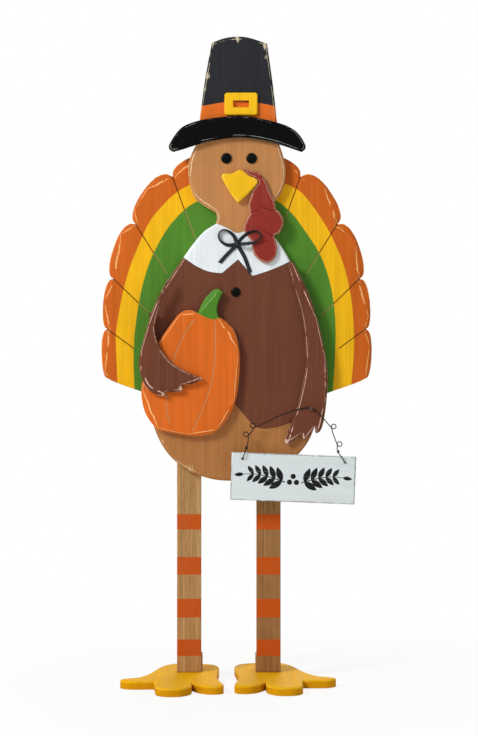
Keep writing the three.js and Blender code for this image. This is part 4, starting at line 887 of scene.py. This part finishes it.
for side in (-1, 1):
    share = np.linspace(0, 1, 30)
    stem = np.stack([sign["reach"] * share, sign["bow"] * np.sin(pi * share * sign["sweep"])], 1)
    stem += sign["start"]
    ahead = np.arctan2(*np.gradient(stem, axis=0).T[::-1])
    weight = (sign["weight"] - sign["thinning"] * share)[:, None]
    ink.append(np.concatenate([stem + weight * [0, 0.5], (stem - weight * [0, 0.5])[::-1]]) * [side, 1])
    for number in range(sign["leaves"]):
        here = int(2 + number * 26 / sign["leaves"])
        size = leafSize * (1 - sign["taper"] * number / sign["leaves"])
        for way in (-1, 1):
            lean = ahead[here] + way * sign["lean"]
            spin = np.array([[np.cos(lean), np.sin(lean)], [-np.sin(lean), np.cos(lean)]])
            ink.append((leaf * size @ spin + stem[here]) * [side, 1])
    end = np.array([[1, np.tan(ahead[-1])], [-np.tan(ahead[-1]), 1]])
    ink.append((leaf * leafSize * sign["endLeaf"] @ end + stem[-1]) * [side, 1])
around = np.linspace(0, 2 * pi, 14, endpoint=False)
ink += [np.stack([np.cos(around), np.sin(around)], 1) * sign["berry"] + at for at in sign["berries"]]
low, high = (np.array(corner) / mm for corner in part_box("sign_board"))
sign["unit"] = (((low + high) / 2)[[0, 2]], (1.0, 1.0))
sign["inlay"] = ink
# Whitewash: thin, chalky and almost even, rubbed dark along the rim. The stencil's ink is matt and patchy.
signLook = dict(
    seed=51, paint="#d9e1e2", primer="#6a5f54", streak=0.03, line=0.03, cloud=0.02, wearFrom=0.38, rim=0.9,
    ridge=0.5, ridgeWear=0.7, grainAxis=0, grainTurn=sign["turn"])
signPaint = paintedWood("whitewashedPine", signLook)
# The same ink blackens the rims and walls of the holes: painted shade
signInkAndHoleShade = paintedWood("blackStencilInkAndHoleShade", dict(
    signLook, paint="#17171a", primer="#8f9494", bare=0.3, line=0.2))
fitBoard("sign_board", sign, "sign_paint", signPaint, signPaint, signInkAndHoleShade, body="sign")
print("sign")

# Wire: the CAD tube merged and rounded by one subdivision, swollen by what rounding takes, but not as it runs
# through a hole. Nail, screws and spacer keep their own solids.
wire = dict(black="#0f0e0e", levels=1, swell=0.2, clear=5.0)
places, faces = merged(nodes["sign_wire"].data, 4)
bentWire = meshOf("bentWire", places, faces.tolist(), sharpAngle=180)
normals = np.empty(len(places) * 3)
bentWire.data.vertices.foreach_get("normal", normals)
inBoard = np.clip(1 - np.abs(places[:, 1] - (low[1] + high[1]) / 2) / wire["clear"], 0, 1)
inBoard = np.where(places[:, 2] < high[2], inBoard, 0)
swell = wire["swell"] * (1 - np.minimum(2 * inBoard, 1))[:, None]
bentWire.data.vertices.foreach_set("co", ((places + swell * normals.reshape(-1, 3)) * mm).ravel())
rounding = bentWire.modifiers.new("rounding", "SUBSURF")
rounding.levels = rounding.render_levels = wire["levels"]
# Annealed steel: matt black scale with a brown cast. A nail is dull and dark, zinc bright but cloudy.
annealed, add, shader = newMaterial("blackAnnealedSteelWire", wire["black"], {
    "Roughness": 0.5, "Specular IOR Level": 0.2})
place = add("TexCoord").outputs["Object"]
scale = add("TexNoise", {"Vector": place, "Scale": 1 / (3 * mm), "Detail": 3.0})
feed(shader, "Base Color", add("Mix", {0: scale, 6: linear("#0a0909"), 7: linear("#1d1916")}))
dress(bentWire, "sign_wire", [annealed])
# Brown stain soaked into the same pine, so that its grain still shows
brownSpacer = bareWood("brownStainedPine", dict(
    pine, wood="#6a3b29", lateWood="#5d3324", earlyWood="#774735", pores="#4c291c"))
steel = dict(nail=("oxidisedNailSteel", "#57524c", 0.36), screw=("zincPlatedSteel", "#b4b6b4", 0.34))
metals = {}
for key, (name, hexText, roughness) in steel.items():
    metals[key], add, shader = newMaterial(name, hexText, {"Metallic": 1.0})
    place = add("TexCoord").outputs["Object"]
    blotch = add("TexNoise", {"Vector": place, "Scale": 1 / (1.6 * mm), "Detail": 2.0})
    feed(shader, "Roughness", add("MapRange", {
        "Value": blotch, "From Min": 0.3, "From Max": 0.7, "To Min": roughness - 0.06,
        "To Max": roughness + 0.1}))
others = dict(wire_nail=metals["nail"], wing_spacer=brownSpacer)
for name, node in nodes.items():
    kept = metals["screw"] if "_screw_" in name else others.get(name)
    if kept:
        for slot in node.material_slots:
            slot.material = kept
print("wire, nail and screws")
